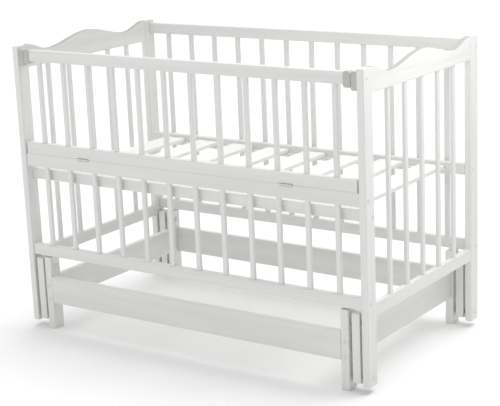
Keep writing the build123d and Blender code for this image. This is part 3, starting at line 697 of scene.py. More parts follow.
class Finishes:
    """Every finish of the crib, made once."""

    def __init__(self) -> None:
        """Makes the materials."""
        paint = PaintedWood(
            "white_paint", (0.81, 0.81, 0.795, 1), (0.69, 0.69, 0.67, 1), (0.66, 0.65, 0.62, 1), 0.75, 0.38
        )
        # The bars get a slightly darker copy of the white paint: painted shade.
        bars = PaintedWood(
            "bar_paint_shaded", (0.79, 0.79, 0.78, 1), (0.70, 0.70, 0.68, 1), (0.72, 0.715, 0.69, 1), 0.5, 0.34
        )
        # The slats get a lighter copy of the white paint: painted light for their top faces.
        slats = PaintedWood(
            "slat_paint_lit", (0.90, 0.90, 0.885, 1), (0.80, 0.795, 0.77, 1), (0.76, 0.75, 0.72, 1), 0.8, 0.5
        )
        dowel = BareWood("dowel_wood", (0.62, 0.45, 0.28, 1), (0.42, 0.27, 0.15, 1))
        zinc = PlatedSteel("zinc_steel", (0.62, 0.62, 0.61, 1), (0.42, 0.42, 0.41, 1), 0.28)
        enamel = MouldedPlastic("white_enamel", (0.70, 0.70, 0.685, 1), (0.76, 0.76, 0.745, 1), 0.36)
        wire = PlatedSteel("spring_steel", (0.55, 0.55, 0.56, 1), (0.30, 0.30, 0.31, 1), 0.2)
        self.paint = {along: paint.material(along) for along in Along}
        self.bars = bars.material(Along.Z)
        self.slats = slats.material(Along.Y)
        self.dowel = dowel.material(Along.Y)
        self.zinc = {along: zinc.material(along) for along in Along}
        self.wire = wire.material(Along.X)
        self.enamel = enamel.material()
        self.grey = MouldedPlastic(
            "grey_plastic", (0.50, 0.495, 0.475, 1), (0.60, 0.595, 0.57, 1), 0.48
        ).material()
        self.dark = MouldedPlastic(
            "dark_plastic", (0.16, 0.16, 0.16, 1), (0.26, 0.26, 0.26, 1), 0.42
        ).material()
        self.card = StudioPaper("studio_card", (0.06, 0.06, 0.06, 1), (0.07, 0.07, 0.07, 1)).material()
        self.paper = StudioPaper("studio_paper", (0.905, 0.905, 0.905, 1), (0.89, 0.89, 0.89, 1)).material()


def dress(obj: bpy.types.Object, material: bpy.types.Material) -> bpy.types.Object:
    """Gives a piece or a carried-over CAD node its one material.

    Args:
        obj: the object.
        material: its finish.

    Returns:
        The same object.
    """
    if obj.material_slots:
        for material_slot in obj.material_slots:
            material_slot.material = material
    else:
        obj.data.materials.append(material)
    return obj


def spread(low: float, high: float, wide: float, count: int) -> np.ndarray:
    """Centres of equal pieces whose outer faces are at low and high."""
    return np.linspace(low + wide / 2, high - wide / 2, count)


# ---------------------------------------------------------------- sub-assemblies


@dataclass
class Woodwork:
    """Plain straight wood: one piece for each node, its box taken from the frame."""

    finishes: Finishes
    edge: float = 3.0 * MM
    fine_edge: float = 2.0 * MM
    sharp_edge: float = 0.8 * MM
    board: int = 0

    def straight(self, node: str, body: str, along: Along, edge: float, notch: Notch | None = None) -> None:
        """Builds one straight piece in the box of its node.

        Args:
            node: CAD node that it stands for.
            body: body that it rides on.
            along: direction that it runs in.
            edge: radius of its long edges.
            notch: hinge pockets in it.
        """
        low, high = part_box(node)
        self.board += 1
        shell = Timber(along, edge).shell(low, high, self.board, notch=notch)
        dress(shell.piece(f"{node}_wood", body, "white_paint", [node]), self.finishes.paint[along])

    def pairs(self, node: str, body: str, along: Along, across: int, wide: float, edge: float, slot: str) -> None:
        """Builds two equal pieces at the two ends of a node's box.

        Args:
            node: CAD node that they stand for.
            body: body that they ride on.
            along: direction that they run in.
            across: axis that separates them.
            wide: their size on that axis.
            edge: radius of their long edges.
            slot: the record's material slot.
        """
        low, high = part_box(node)
        shells = []
        for first in (low[across], high[across] - wide):
            self.board += 1
            a, b = low.copy(), high.copy()
            a[across], b[across] = first, first + wide
            shells.append(Timber(along, edge).shell(a, b, self.board))
        piece = Shell.joined(shells).piece(f"{node}_wood", body, slot, [node])
        dress(piece, self.finishes.paint[along])


@dataclass
class Stand:
    """Low stand on the floor: four legs and four boards."""

    woodwork: Woodwork

    def build(self) -> None:
        """Builds the legs and boards."""
        wood = self.woodwork
        for _, side in SIDES:
            for _, rank in RANKS:
                wood.straight(f"stand_leg_{rank}_{side}", "stand", Along.Z, wood.edge)
            wood.straight(f"stand_{side}_board", "stand", Along.Y, wood.edge)
        for _, rank in RANKS:
            wood.straight(f"stand_{rank}_board", "stand", Along.X, wood.edge)


@dataclass
class Rockers:
    """Two pairs of links that carry the cot, with a flanged bush in each eye."""

    woodwork: Woodwork
    thick: float = 25.0 * MM
    edge: float = 6.0 * MM
    bush: float = 8.0 * MM
    flange: float = 11.0 * MM
    flange_thick: float = 1.5 * MM
    bore: float = 5.05 * MM
    lip: float = 0.4 * MM

    def bush_profile(self) -> tuple[Ring, ...]:
        """Section of a flanged bush, from the bore out round both flanges.

        Returns:
            Rings of the closed section.
        """
        half, lip = self.thick / 2, self.lip
        outer = half + self.flange_thick
        return (
            Ring(-outer, self.bore + lip),
            Ring(-outer, self.flange - lip),
            Ring(-outer + lip, self.flange),
            Ring(-half, self.flange),
            Ring(-half, self.bush),
            Ring(half, self.bush),
            Ring(half, self.flange),
            Ring(outer - lip, self.flange),
            Ring(outer, self.flange - lip),
            Ring(outer, self.bore + lip),
            Ring(outer - lip, self.bore),
            Ring(-outer + lip, self.bore),
        )

    def build(self) -> None:
        """Builds the links and their bushes."""
        finishes = self.woodwork.finishes
        for _, rank in RANKS:
            body = f"{rank}_rockers"
            self._links(f"{rank}_links", body)
            low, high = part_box(f"{rank}_link_bushes")
            mid_y = (low[1] + high[1]) / 2
            mid_x = high[0] - self.flange_thick - self.thick / 2
            turning = Turning(self.bush_profile(), sides=36, hollow=True)
            shells = [
                turning.shell((side * mid_x, mid_y, z), (1, 0, 0))
                for side, _ in SIDES
                for z in (low[2] + self.flange, high[2] - self.flange)
            ]
            piece = Shell.joined(shells).piece(
                f"{rank}_bushes_moulded", body, "dark_plastic", [f"{rank}_link_bushes"], soft=False
            )
            dress(piece, finishes.dark)

    def _links(self, node: str, body: str) -> None:
        """Builds one pair of links, rounded at their ends.

        Args:
            node: CAD node of the pair.
            body: body that they ride on.
        """
        low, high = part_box(node)
        shells = []
        for first in (low[0], high[0] - self.thick):
            self.woodwork.board += 1
            a, b = low.copy(), high.copy()
            a[0], b[0] = first, first + self.thick
            shells.append(Timber(Along.X, self.edge).shell(a, b, self.woodwork.board))
        piece = Shell.joined(shells).piece(f"{node}_wood", body, "white_paint", [node])
        dress(piece, self.woodwork.finishes.paint[Along.Z])


@dataclass
class Bars:
    """Rows of upright bars with rounded corners, set into the rails."""

    finishes: Finishes
    wide: float = 17.0 * MM
    deep: float = 11.0 * MM
    edge: float = 4.0 * MM
    long_rows: int = 12
    end_rows: int = 5
    first_board: int = 40

    def row(self, node: str, body: str) -> None:
        """Builds a row of bars along the crib.

        Args:
            node: CAD node of the row.
            body: body that it rides on.
        """
        low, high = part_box(node)
        centres = spread(low[0], high[0], self.wide, self.long_rows)
        boxes = [
            (Vector((x - self.wide / 2, low[1], low[2])), Vector((x + self.wide / 2, high[1], high[2])))
            for x in centres.tolist()
        ]
        self._bars(node, body, boxes)

    def ends(self) -> None:
        """Builds the bars of both end panels."""
        low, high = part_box("end_bars")
        boxes = [
            (Vector((first, y - self.wide / 2, low[2])), Vector((first + self.deep, y + self.wide / 2, high[2])))
            for first in (low[0], high[0] - self.deep)
            for y in spread(low[1], high[1], self.wide, self.end_rows).tolist()
        ]
        self._bars("end_bars", "cot", boxes)

    def _bars(self, node: str, body: str, boxes: list[tuple[Vector, Vector]]) -> None:
        """Builds upright bars in their boxes as one piece.

        Args:
            node: CAD node that they stand for.
            body: body that they ride on.
            boxes: lowest and highest corner of each bar.
        """
        timber = Timber(Along.Z, self.edge, steps=6)
        shells = [timber.shell(a, b, self.first_board + i) for i, (a, b) in enumerate(boxes)]
        self.first_board += len(boxes)
        piece = Shell.joined(shells).piece(f"{node}_wood", body, "white_paint_bars", [node])
        dress(piece, self.finishes.bars)


@dataclass
class EndPanels:
    """Wavy board and lower rail of each end.

    The board's top edge runs from a horn beside each post down to a dip and up to a hump in the
    middle. Between two of these points at the share s it is low + (high - low) * s * s * (3 - 2 * s).
    """

    woodwork: Woodwork
    dip_at: float = 190.0 * MM
    horn: float = 901.0 * MM
    dip: float = 876.0 * MM
    stations: int = 97

    def top(self, place: np.ndarray) -> np.ndarray:
        """Height of the wavy edge.

        Args:
            place: distance from the middle of the board.

        Returns:
            The height at each place.
        """
        _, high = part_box("end_board_right")
        reach = np.abs(place)
        inner = np.clip(reach / self.dip_at, 0, 1)
        outer = np.clip((reach - self.dip_at) / (high[1] - self.dip_at), 0, 1)
        fall = (high[2] - self.dip) * inner * inner * (3 - 2 * inner)
        rise = (self.horn - self.dip) * outer * outer * (3 - 2 * outer)
        return high[2] - fall + rise

    def build(self) -> None:
        """Builds both ends."""
        wood = self.woodwork
        for _, side in SIDES:
            node = f"end_board_{side}"
            low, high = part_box(node)
            wood.board += 1
            # The wavy top edge is marked for a dark line of painted shade.
            shell = Timber(Along.Y, wood.edge).shell(
                low, high, wood.board, crown=self.top, stations=self.stations, rim=True
            )
            dress(shell.piece(f"{node}_wood", "cot", "white_paint", [node]), wood.finishes.paint[Along.Y])
            wood.straight(f"end_rail_{side}", "cot", Along.Y, wood.edge)


@dataclass
class CotFrame:
    """Posts, long rails and slatted base of the cot body."""

    woodwork: Woodwork
    slats: int = 8
    slat_wide: float = 80.0 * MM
    ledger: float = 12.0 * MM

    def build(self, pockets: Notch) -> None:
        """Builds the cot's wood.

        Args:
            pockets: hinge pockets of the middle rail.
        """
        wood = self.woodwork
        for _, rank in RANKS:
            for _, side in SIDES:
                wood.straight(f"post_{rank}_{side}", "cot", Along.Z, wood.edge)
            wood.straight(f"base_rail_{rank}", "cot", Along.X, wood.fine_edge)
            wood.straight(f"{rank}_bottom_rail", "cot", Along.X, wood.edge)
        wood.straight("back_top_rail", "cot", Along.X, wood.edge)
        wood.straight("front_middle_rail", "cot", Along.X, wood.sharp_edge, pockets)
        wood.pairs("ledger_strips", "cot", Along.X, 1, self.ledger, wood.sharp_edge, "white_paint")
        self._slats()

    def _slats(self) -> None:
        """Builds the flat slats across the two ledgers."""
        wood = self.woodwork
        low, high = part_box("slats")
        shells = []
        for x in spread(low[0], high[0], self.slat_wide, self.slats).tolist():
            wood.board += 1
            a = Vector((x - self.slat_wide / 2, low[1], low[2]))
            b = Vector((x + self.slat_wide / 2, high[1], high[2]))
            shells.append(Timber(Along.Y, wood.fine_edge).shell(a, b, wood.board))
        piece = Shell.joined(shells).piece("slats_wood", "cot", "slat_wood", ["slats"])
        dress(piece, wood.finishes.slats)


@dataclass
class DropSide:
    """Folding upper half of the front, with its hinges."""

    woodwork: Woodwork
    recess: float = 4.5 * MM
    play: float = 0.5 * MM
    seal_end: float = 1.0 * MM
    seal_inset: float = 0.3 * MM
    seal_deep: float = 4.0 * MM
    seal_gap: float = 0.25 * MM
    seal_edge: float = 0.1 * MM

    def pockets(self, corner: Corner, node: str) -> Notch:
        """Pockets for the hinge barrels in the edge of a rail.

        Args:
            corner: the rail's edge.
            node: CAD node of the rail.

        Returns:
            The pockets.
        """
        pins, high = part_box("hinge_pins")
        rail_low, rail_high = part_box(node)
        mid_y, mid_z = (pins[1] + high[1]) / 2, (pins[2] + high[2]) / 2
        leaf_low, leaf_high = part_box("hinge_lower_leaves")
        length = HINGE_LONG + 2 * self.play
        spans = (
            (leaf_low[0] - self.play, leaf_low[0] - self.play + length),
            (leaf_high[0] + self.play - length, leaf_high[0] + self.play),
        )
        seam = rail_high[2] - mid_z if corner is Corner.FRONT_TOP else mid_z - rail_low[2]
        return Notch(spans, corner, mid_y + self.recess - rail_low[1], self.recess + seam)

    def build(self) -> None:
        """Builds the drop side's wood."""
        wood = self.woodwork
        pockets = self.pockets(Corner.FRONT_BOTTOM, "drop_side_bottom_rail")
        wood.straight("drop_side_bottom_rail", "drop_side", Along.X, wood.sharp_edge, pockets)
        wood.straight("drop_side_top_rail", "drop_side", Along.X, wood.edge)
        self._seal(pockets)

    def _seal(self, pockets: Notch) -> None:
        """Builds the painted strips that hide the seam under the drop side, on both sides of each hinge.

        Args:
            pockets: hinge pockets, which the strips leave free.
        """
        under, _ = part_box("drop_side_bottom_rail")
        low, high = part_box("front_middle_rail")
        shells = []
        starts = [low[0] + self.seal_end] + [span[1] for span in pockets.spans]
        stops = [span[0] for span in pockets.spans] + [high[0] - self.seal_end]
        for first, last in zip(starts, stops):
            self.woodwork.board += 1
            a = Vector((first, low[1] + self.seal_inset, high[2] - self.seal_inset))
            b = Vector((last, low[1] + self.seal_deep, under[2] - self.seal_gap))
            shells.append(Timber(Along.X, self.seal_edge, self.seal_edge, 2).shell(a, b, self.woodwork.board))
        piece = Shell.joined(shells).piece("seam_strips", "cot", "white_paint", [])
        dress(piece, self.woodwork.finishes.paint[Along.X])


def outward(middle: np.ndarray, axis: int) -> int:
    """Head on the side away from the crib's middle."""
    return 1 if middle[axis] > 0 else -1


def onward(middle: np.ndarray, axis: int) -> int:
    """Head on the high side of the axis."""
    return 1


def backward(middle: np.ndarray, axis: int) -> int:
    """Head on the low side of the axis."""
    return -1


def keeper_side(middle: np.ndarray, axis: int) -> int:
    """Head outside for the screw through the post, and inside for the screws in the keeper."""
    return outward(middle, axis) if abs(middle[0]) > KEEPER_OUTER else -outward(middle, axis)


@dataclass
class Fasteners:
    """Bolts, nuts, screws, dowels and pins, each turned from its own profile."""

    finishes: Finishes
    bolt: float = 3.0 * MM
    cap_thick: float = 1.5 * MM
    bolt_key: float = 2.4 * MM
    upper_key: float = 3.4 * MM
    lower_key: float = 3.0 * MM
    slat_head: float = 2.0 * MM
    hinge_head: float = 0.8 * MM
    latch_head: float = 1.4 * MM
    bore_play: float = 0.05 * MM
    barrel: float = 5.0 * MM
    pivot: float = 5.0 * MM
    thread_pitch: float = 1.0 * MM
    thread_deep: float = 0.35 * MM
    skin: float = 0.2 * MM

    def bolt_profile(self, length: float, shank: float, cap: float, cap_thick: float, key: float) -> tuple[Ring, ...]:
        """Cap bolt, from its tip up its thread and shank to a low dome with a hexagon socket.

        Args:
            length: shank length under the cap.
            shank: shank radius.
            cap: cap radius.
            cap_thick: cap height.
            key: socket radius across its corners.

        Returns:
            Rings from the tip to the bottom of the socket.
        """
        thread = ridges(-length + 0.8 * MM, -length / 2, shank, self.thread_pitch, self.thread_deep)
        return (
            Ring(-length, shank - 2 * self.thread_deep),
            *thread,
            Ring(-length / 2 + self.skin, shank),
            Ring(-self.skin, shank),
            Ring(0, cap - self.skin),
            Ring(0.3 * cap_thick, cap),
            Ring(0.55 * cap_thick, 0.97 * cap),
            Ring(0.85 * cap_thick, 0.82 * cap),
            Ring(cap_thick, 0.6 * cap),
            Ring(cap_thick, key + self.skin, 1),
            Ring(cap_thick - self.skin, key, 1),
            Ring(0.15 * cap_thick, key, 1),
            Ring(0.1 * cap_thick, 0.8 * key, 1),
        )

    def screw_profile(self, length: float, shank: float, head: float, thick: float) -> tuple[Ring, ...]:
        """Wood screw, from its point up its thread to a head with a cross recess.

        Args:
            length: shank length under the head.
            shank: thread radius.
            head: head radius.
            thick: head height.

        Returns:
            Rings from the point to the middle of the recess.
        """
        thread = ridges(-length + 2.5 * shank, -0.2 * length, shank, 1.2 * shank, 0.3 * shank)
        return (
            Ring(-length, 0.12 * shank),
            *thread,
            Ring(-0.18 * length, 0.8 * shank),
            Ring(-self.skin, 0.8 * shank),
            Ring(0, head - self.skin),
            Ring(0.35 * thick, head),
            Ring(0.75 * thick, 0.93 * head),
            Ring(thick, 0.72 * head),
            Ring(thick, 0.6 * head, 0, 0),
            Ring(thick - 0.02 * MM, 0.52 * head, 0, 0.45 * thick),
            Ring(thick - 0.1 * MM, 0.24 * head, 0, 0.5 * thick),
            Ring(0.5 * thick, 0.16 * head),
        )

    def nut_profile(self, thick: float, corner: float, bore: float) -> tuple[Ring, ...]:
        """Hexagon nut, its corners chamfered and its bore countersunk.

        Args:
            thick: height of the nut.
            corner: radius to its corners.
            bore: bore radius.

        Returns:
            Rings of the closed section.
        """
        flat = corner * math.cos(math.pi / 6)
        return (
            Ring(0, bore + self.skin),
            Ring(0, flat - self.skin),
            Ring(0.12 * thick, corner, 1),
            Ring(0.88 * thick, corner, 1),
            Ring(thick, flat - self.skin),
            Ring(thick, bore + self.skin),
            Ring(thick - self.skin, bore),
            Ring(self.skin, bore),
        )

    def spacer_profile(self, thick: float, rim: float, bore: float) -> tuple[Ring, ...]:
        """Plain spacer with eased rims and a shallow groove round its edge.

        Args:
            thick: height of the spacer.
            rim: outer radius.
            bore: bore radius.

        Returns:
            Rings of the closed section.
        """
        ease = min(0.4 * MM, thick / 4)
        return (
            Ring(0, bore + self.skin),
            Ring(0, rim - ease),
            Ring(ease, rim),
            Ring(0.45 * thick, rim),
            Ring(0.5 * thick, rim - self.skin),
            Ring(0.55 * thick, rim),
            Ring(thick - ease, rim),
            Ring(thick, rim - ease),
            Ring(thick, bore + self.skin),
            Ring(thick - self.skin, bore),
            Ring(self.skin, bore),
        )

    def barrel_profile(self, length: float, _: float) -> tuple[Ring, ...]:
        """Barrel nut with chamfered ends, a waist line and a screwdriver slot in the open end.

        Args:
            length: length of the barrel.
            _: radius of its box, unused because every barrel has the same radius.

        Returns:
            Rings from the blind end to the slotted end.
        """
        radius = self.barrel
        return (
            Ring(0, 0.8 * radius),
            Ring(0.5 * MM, radius),
            Ring(0.48 * length, radius),
            Ring(0.5 * length, 0.96 * radius),
            Ring(0.52 * length, radius),
            Ring(length - 0.5 * MM, radius),
            Ring(length, radius - 0.5 * MM),
            Ring(length, 0.82 * radius),
            Ring(length, 0.78 * radius, 0, 0.8 * MM),
            Ring(length - 0.05 * MM, 0.2 * radius, 0, 0.8 * MM),
            Ring(length - 0.8 * MM, 0.12 * radius),
        )

    def dowel_profile(self, length: float, radius: float) -> tuple[Ring, ...]:
        """Fluted dowel with tapered ends.

        Args:
            length: length of the dowel.
            radius: outer radius.

        Returns:
            Rings from end to end.
        """
        taper = 1.6 * MM
        return (
            Ring(0, 0.74 * radius),
            Ring(taper, radius, 0, 0, 0.09),
            Ring(length / 2, radius, 0, 0, 0.09),
            Ring(length - taper, radius, 0, 0, 0.09),
            Ring(length, 0.74 * radius),
        )

    def group(
        self, node: str, body: str, slot: str, shells: list[Shell], material: bpy.types.Material
    ) -> None:
        """Puts equal fasteners into one piece.

        Args:
            node: CAD node that they stand for.
            body: body that they ride on.
            slot: the record's material slot.
            shells: the fasteners.
            material: their finish.
        """
        dress(Shell.joined(shells).piece(f"{node}_turned", body, slot, [node], soft=False), material)

    def seats(self, node: str) -> list[tuple[np.ndarray, np.ndarray]]:
        """Lowest and highest corner of each separate solid of a CAD node.

        Triangles whose corners lie on one another belong to one solid: each point takes the lowest
        number among its triangle's corners and its twins until nothing changes.

        Args:
            node: CAD node of a group of solids.

        Returns:
            The corners of each solid's box, in order of its place.
        """
        mesh = frame["nodes"][node].data
        points = np.empty(len(mesh.vertices) * 3)
        mesh.vertices.foreach_get("co", points)
        points = points.reshape(-1, 3)
        loops = np.empty(len(mesh.loops), dtype=np.int64)
        mesh.loops.foreach_get("vertex_index", loops)
        triangles = loops.reshape(-1, 3)
        keys = np.round(points / SAME_POINT).astype(np.int64)
        _, twin = np.unique(keys, axis=0, return_inverse=True)
        corners = twin.reshape(-1)[triangles]
        label = np.arange(corners.max() + 1)
        while True:
            before = label.copy()
            lowest = label[corners].min(axis=1)
            for column in range(3):
                np.minimum.at(label, corners[:, column], lowest)
            if (before == label).all():
                break
        owner = label[twin.reshape(-1)]
        boxes = [(points[owner == one].min(axis=0), points[owner == one].max(axis=0)) for one in np.unique(owner)]
        return sorted(boxes, key=lambda box: tuple(np.round(box[0], 5)))

    def capped(
        self, node: str, body: str, toward: Callable[[np.ndarray, int], int], thick: float, key: float | None
    ) -> None:
        """Builds bolts or screws in the boxes of a node's solids.

        Args:
            node: CAD node of the group.
            body: body that they ride on.
            toward: gives the side, -1 or 1, that a solid's head is on, from its middle and its long axis.
            thick: head height.
            key: socket radius of a bolt, or None for a wood screw.
        """
        shells = []
        for number, (low, high) in enumerate(self.seats(node)):
            size, middle = high - low, (low + high) / 2
            axis = int(np.argmax(size))
            way = toward(middle, axis)
            head = float(np.delete(size, axis).max()) / 2
            direction = np.zeros(3)
            direction[axis] = way
            seat = middle + direction * (size[axis] / 2 - thick)
            length = float(size[axis]) - thick
            if key is None:
                profile = self.screw_profile(length, 0.57 * head, head, thick)
            else:
                profile = self.bolt_profile(length, self.shank_of(node), head, thick, key)
            shells.append(Turning(profile).shell(tuple(seat), tuple(direction), number))
        bare = key is None and "keeper" not in node
        finish = self.finishes.zinc[Along.X] if bare else self.finishes.enamel
        self.group(node, body, "zinc_steel", shells, finish)

    def shank_of(self, node: str) -> float:
        """Shank radius of a group of bolts."""
        return self.pivot if "pivot" in node else self.bolt

    def rings(self, node: str, body: str, hexagon: bool) -> None:
        """Builds nuts or spacers round the pivot bolts.

        Args:
            node: CAD node of the group.
            body: body that they ride on.
            hexagon: nuts when true, spacers otherwise.
        """
        shells = []
        for number, (low, high) in enumerate(self.seats(node)):
            size, middle = high - low, (low + high) / 2
            start = (float(low[0]), float(middle[1]), float(middle[2]))
            thick, rim = float(size[0]), float(size[2]) / 2
            bore = self.pivot + self.bore_play
            profile = (
                self.nut_profile(thick, self.corner(size), bore) if hexagon else self.spacer_profile(thick, rim, bore)
            )
            shells.append(Turning(profile, hollow=True).shell(start, (1, 0, 0), number))
        finish = self.finishes.enamel if hexagon else self.finishes.zinc[Along.X]
        self.group(node, body, "zinc_steel", shells, finish)

    def corner(self, size: np.ndarray) -> float:
        """Corner radius of a nut from its box, across whose shorter side its flats lie."""
        return float(min(size[1], size[2])) / 2 / math.cos(math.pi / 6) * 0.999

    def plain(self, node: str, body: str, slot: str, profile: Callable[[float, float], tuple[Ring, ...]]) -> None:
        """Builds dowels, pins or barrels in the boxes of a node's solids.

        Args:
            node: CAD node of the group.
            body: body that they ride on.
            slot: the record's material slot.
            profile: section from a length and a radius.
        """
        finish = self.finishes.dowel if slot == "dowel_wood" else self.finishes.zinc[Along.Y]
        shells = []
        for number, (low, high) in enumerate(self.seats(node)):
            size, middle = high - low, (low + high) / 2
            axis = int(np.argmax(size))
            if "barrel" in node:
                axis = int(np.argmax(np.abs(size - np.median(size))))
            reverse = "barrel" in node and axis == 0
            direction = np.zeros(3)
            direction[axis] = -1 if reverse else 1
            start = middle - direction * size[axis] / 2
            radius = float(np.delete(size, axis).min()) / 2
            turning = Turning(profile(float(size[axis]), radius), arms=2 if "barrel" in node else 4)
            shells.append(turning.shell(tuple(start), tuple(direction), number))
        self.group(node, body, slot, shells, finish)

    def pin_profile(self, length: float, radius: float) -> tuple[Ring, ...]:
        """Hinge pin with small domed ends.

        Args:
            length: length of the pin.
            radius: pin radius.

        Returns:
            Rings from end to end.
        """
        dome = 0.6 * MM
        return (
            Ring(0, 0.35 * radius),
            Ring(0.15 * dome, 0.7 * radius),
            Ring(0.6 * dome, 0.95 * radius),
            Ring(dome, radius),
            Ring(length - dome, radius),
            Ring(length - 0.6 * dome, 0.95 * radius),
            Ring(length - 0.15 * dome, 0.7 * radius),
            Ring(length, 0.35 * radius),
        )

    def build(self) -> None:
        """Builds every fastener of the crib."""
        for node, body, toward, thick, key in (
            ("frame_bolts", "cot", outward, self.cap_thick, self.bolt_key),
            ("stand_bolts", "stand", outward, self.cap_thick, self.bolt_key),
            ("upper_pivot_bolts", "stand", outward, self.cap_thick, self.upper_key),
            ("lower_pivot_bolts", "cot", outward, self.cap_thick, self.lower_key),
            ("slat_screws", "cot", onward, self.slat_head, None),
            ("hinge_lower_screws", "cot", onward, self.hinge_head, None),
            ("hinge_upper_screws", "drop_side", backward, self.hinge_head, None),
            ("latch_housing_screws", "drop_side", outward, self.latch_head, None),
            ("latch_keeper_screws", "cot", keeper_side, self.latch_head, None),
        ):
            self.capped(node, body, toward, thick, key)
        for level, body in (("upper", "stand"), ("lower", "cot")):
            self.rings(f"{level}_pivot_nuts", body, True)
        for level, body in (("upper", "stand"), ("lower", "cot")):
            self.rings(f"{level}_pivot_spacers", body, False)
        self.plain("hinge_pins", "cot", "zinc_steel", self.pin_profile)
        self.plain("end_panel_dowels", "cot", "dowel_wood", self.dowel_profile)
        self.plain("frame_barrel_nuts", "cot", "zinc_steel", self.barrel_profile)
        self.plain("stand_barrel_nuts", "stand", "zinc_steel", self.barrel_profile)


@dataclass
class Fittings:
    """Hinge leaves and corner latches: carried-over shapes in their finishes, with moulded detail added."""

    finishes: Finishes
    nose: float = 5.0 * MM
    tab: float = 2.2 * MM
    knob: float = 3.3 * MM
    boss: float = 4.4 * MM
    boss_high: float = 0.3 * MM
    boss_in: float = 12.0 * MM
    boss_up: float = 15.5 * MM
    lip_wide: float = 7.0 * MM
    lip_high: float = 13.0 * MM
    lip_thick: float = 2.2 * MM
    lip_gap: float = 0.1 * MM

    def build(self) -> None:
        """Dresses the leaves, housings, keepers and springs, and builds the bolts and bosses."""
        nodes = frame["nodes"]
        for node in ("hinge_lower_leaves", "hinge_upper_leaves"):
            dress(nodes[node], self.finishes.enamel)
        dress(nodes["latch_springs"], self.finishes.wire)
        for side, name in SIDES:
            dress(nodes[f"latch_housing_{name}"], self.finishes.grey)
            dress(nodes[f"latch_keeper_{name}"], self.finishes.grey)
            self._bolt(side, name)
            self._boss(side, name)
            self._lip(side, name)

    def _bolt(self, side: int, name: str) -> None:
        """Builds a sliding latch bolt with a rounded nose and a finger tab behind it.

        Args:
            side: -1 for left, 1 for right.
            name: name of that side.
        """
        node = f"latch_bolt_{name}"
        low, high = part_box(node)
        length = high[0] - low[0]
        tail = low[0] if side > 0 else high[0]
        axis_y = low[1] + self.nose
        axis_z = (low[2] + high[2]) / 2
        r = self.nose
        plunger = (
            Ring(0, 0.72 * r),
            Ring(0.5 * MM, 0.94 * r),
            Ring(0.8 * MM, r),
            Ring(0.62 * length, r),
            Ring(length - 3.2 * MM, r),
            Ring(length - 1.9 * MM, 0.96 * r),
            Ring(length - 0.8 * MM, 0.84 * r),
            Ring(length - 0.2 * MM, 0.62 * r),
            Ring(length, 0.36 * r),
        )
        reach = high[1] - axis_y
        t = self.tab
        stem = (
            Ring(0, 0.9 * t),
            Ring(reach - 2.8 * MM, t),
            Ring(reach - 2.4 * MM, self.knob - 0.4 * MM),
            Ring(reach - 2.0 * MM, self.knob, 0, 0, 0.08),
            Ring(reach - 0.6 * MM, self.knob, 0, 0, 0.08),
            Ring(reach - 0.15 * MM, 0.8 * self.knob),
            Ring(reach, 0.5 * self.knob),
        )
        tab_x = tail + side * (self.tab + 0.8 * MM)
        shells = [
            Turning(plunger, sides=36).shell((tail, axis_y, axis_z), (side, 0, 0)),
            Turning(stem).shell((tab_x, axis_y, axis_z), (0, 1, 0)),
        ]
        piece = Shell.joined(shells).piece(f"{node}_moulded", f"{name}_latch", "dark_plastic", [node], soft=False)
        dress(piece, self.finishes.dark)

    def _boss(self, side: int, name: str) -> None:
        """Builds the round moulded boss low on a housing's front.

        Args:
            side: -1 for left, 1 for right.
            name: name of that side.
        """
        low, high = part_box(f"latch_housing_{name}")
        inner = low[0] if side > 0 else high[0]
        b, h = self.boss, self.boss_high
        profile = (
            Ring(-1.0 * MM, b),
            Ring(0.5 * h, b),
            Ring(0.84 * h, 0.95 * b),
            Ring(0.9 * h, 0.78 * b),
            Ring(0.2 * h, 0.7 * b),
            Ring(0.1 * h, 0.5 * b),
            Ring(0.8 * h, 0.4 * b),
            Ring(h, 0.2 * b),
        )
        centre = (inner + side * self.boss_in, low[1], low[2] + self.boss_up)
        shell = Turning(profile, sides=36).shell(centre, (0, -1, 0))
        dress(shell.piece(f"latch_boss_{name}", "drop_side", "grey_plastic", [], soft=False), self.finishes.grey)

    def _lip(self, side: int, name: str) -> None:
        """Builds the moulded lip that closes the front of a keeper's groove and holds the latch bolt in.

        Args:
            side: -1 for left, 1 for right.
            name: name of that side.
        """
        low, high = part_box(f"latch_keeper_{name}")
        bolt_low, bolt_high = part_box(f"latch_bolt_{name}")
        mid_z = (bolt_low[2] + bolt_high[2]) / 2
        edge = low[0] if side > 0 else high[0]
        inner = sorted((edge, edge + side * self.lip_wide))
        a = Vector((inner[0] + self.lip_gap, low[1] + self.lip_gap, mid_z - self.lip_high / 2 + self.lip_gap))
        b = Vector((inner[1], low[1] + self.lip_thick, mid_z + self.lip_high / 2 - self.lip_gap))
        shell = Timber(Along.Z, 0.5 * MM, 0.4 * MM, 3).shell(a, b, 1)
        dress(shell.piece(f"keeper_lip_{name}", "cot", "grey_plastic", []), self.finishes.grey)


# ---------------------------------------------------------------- studio


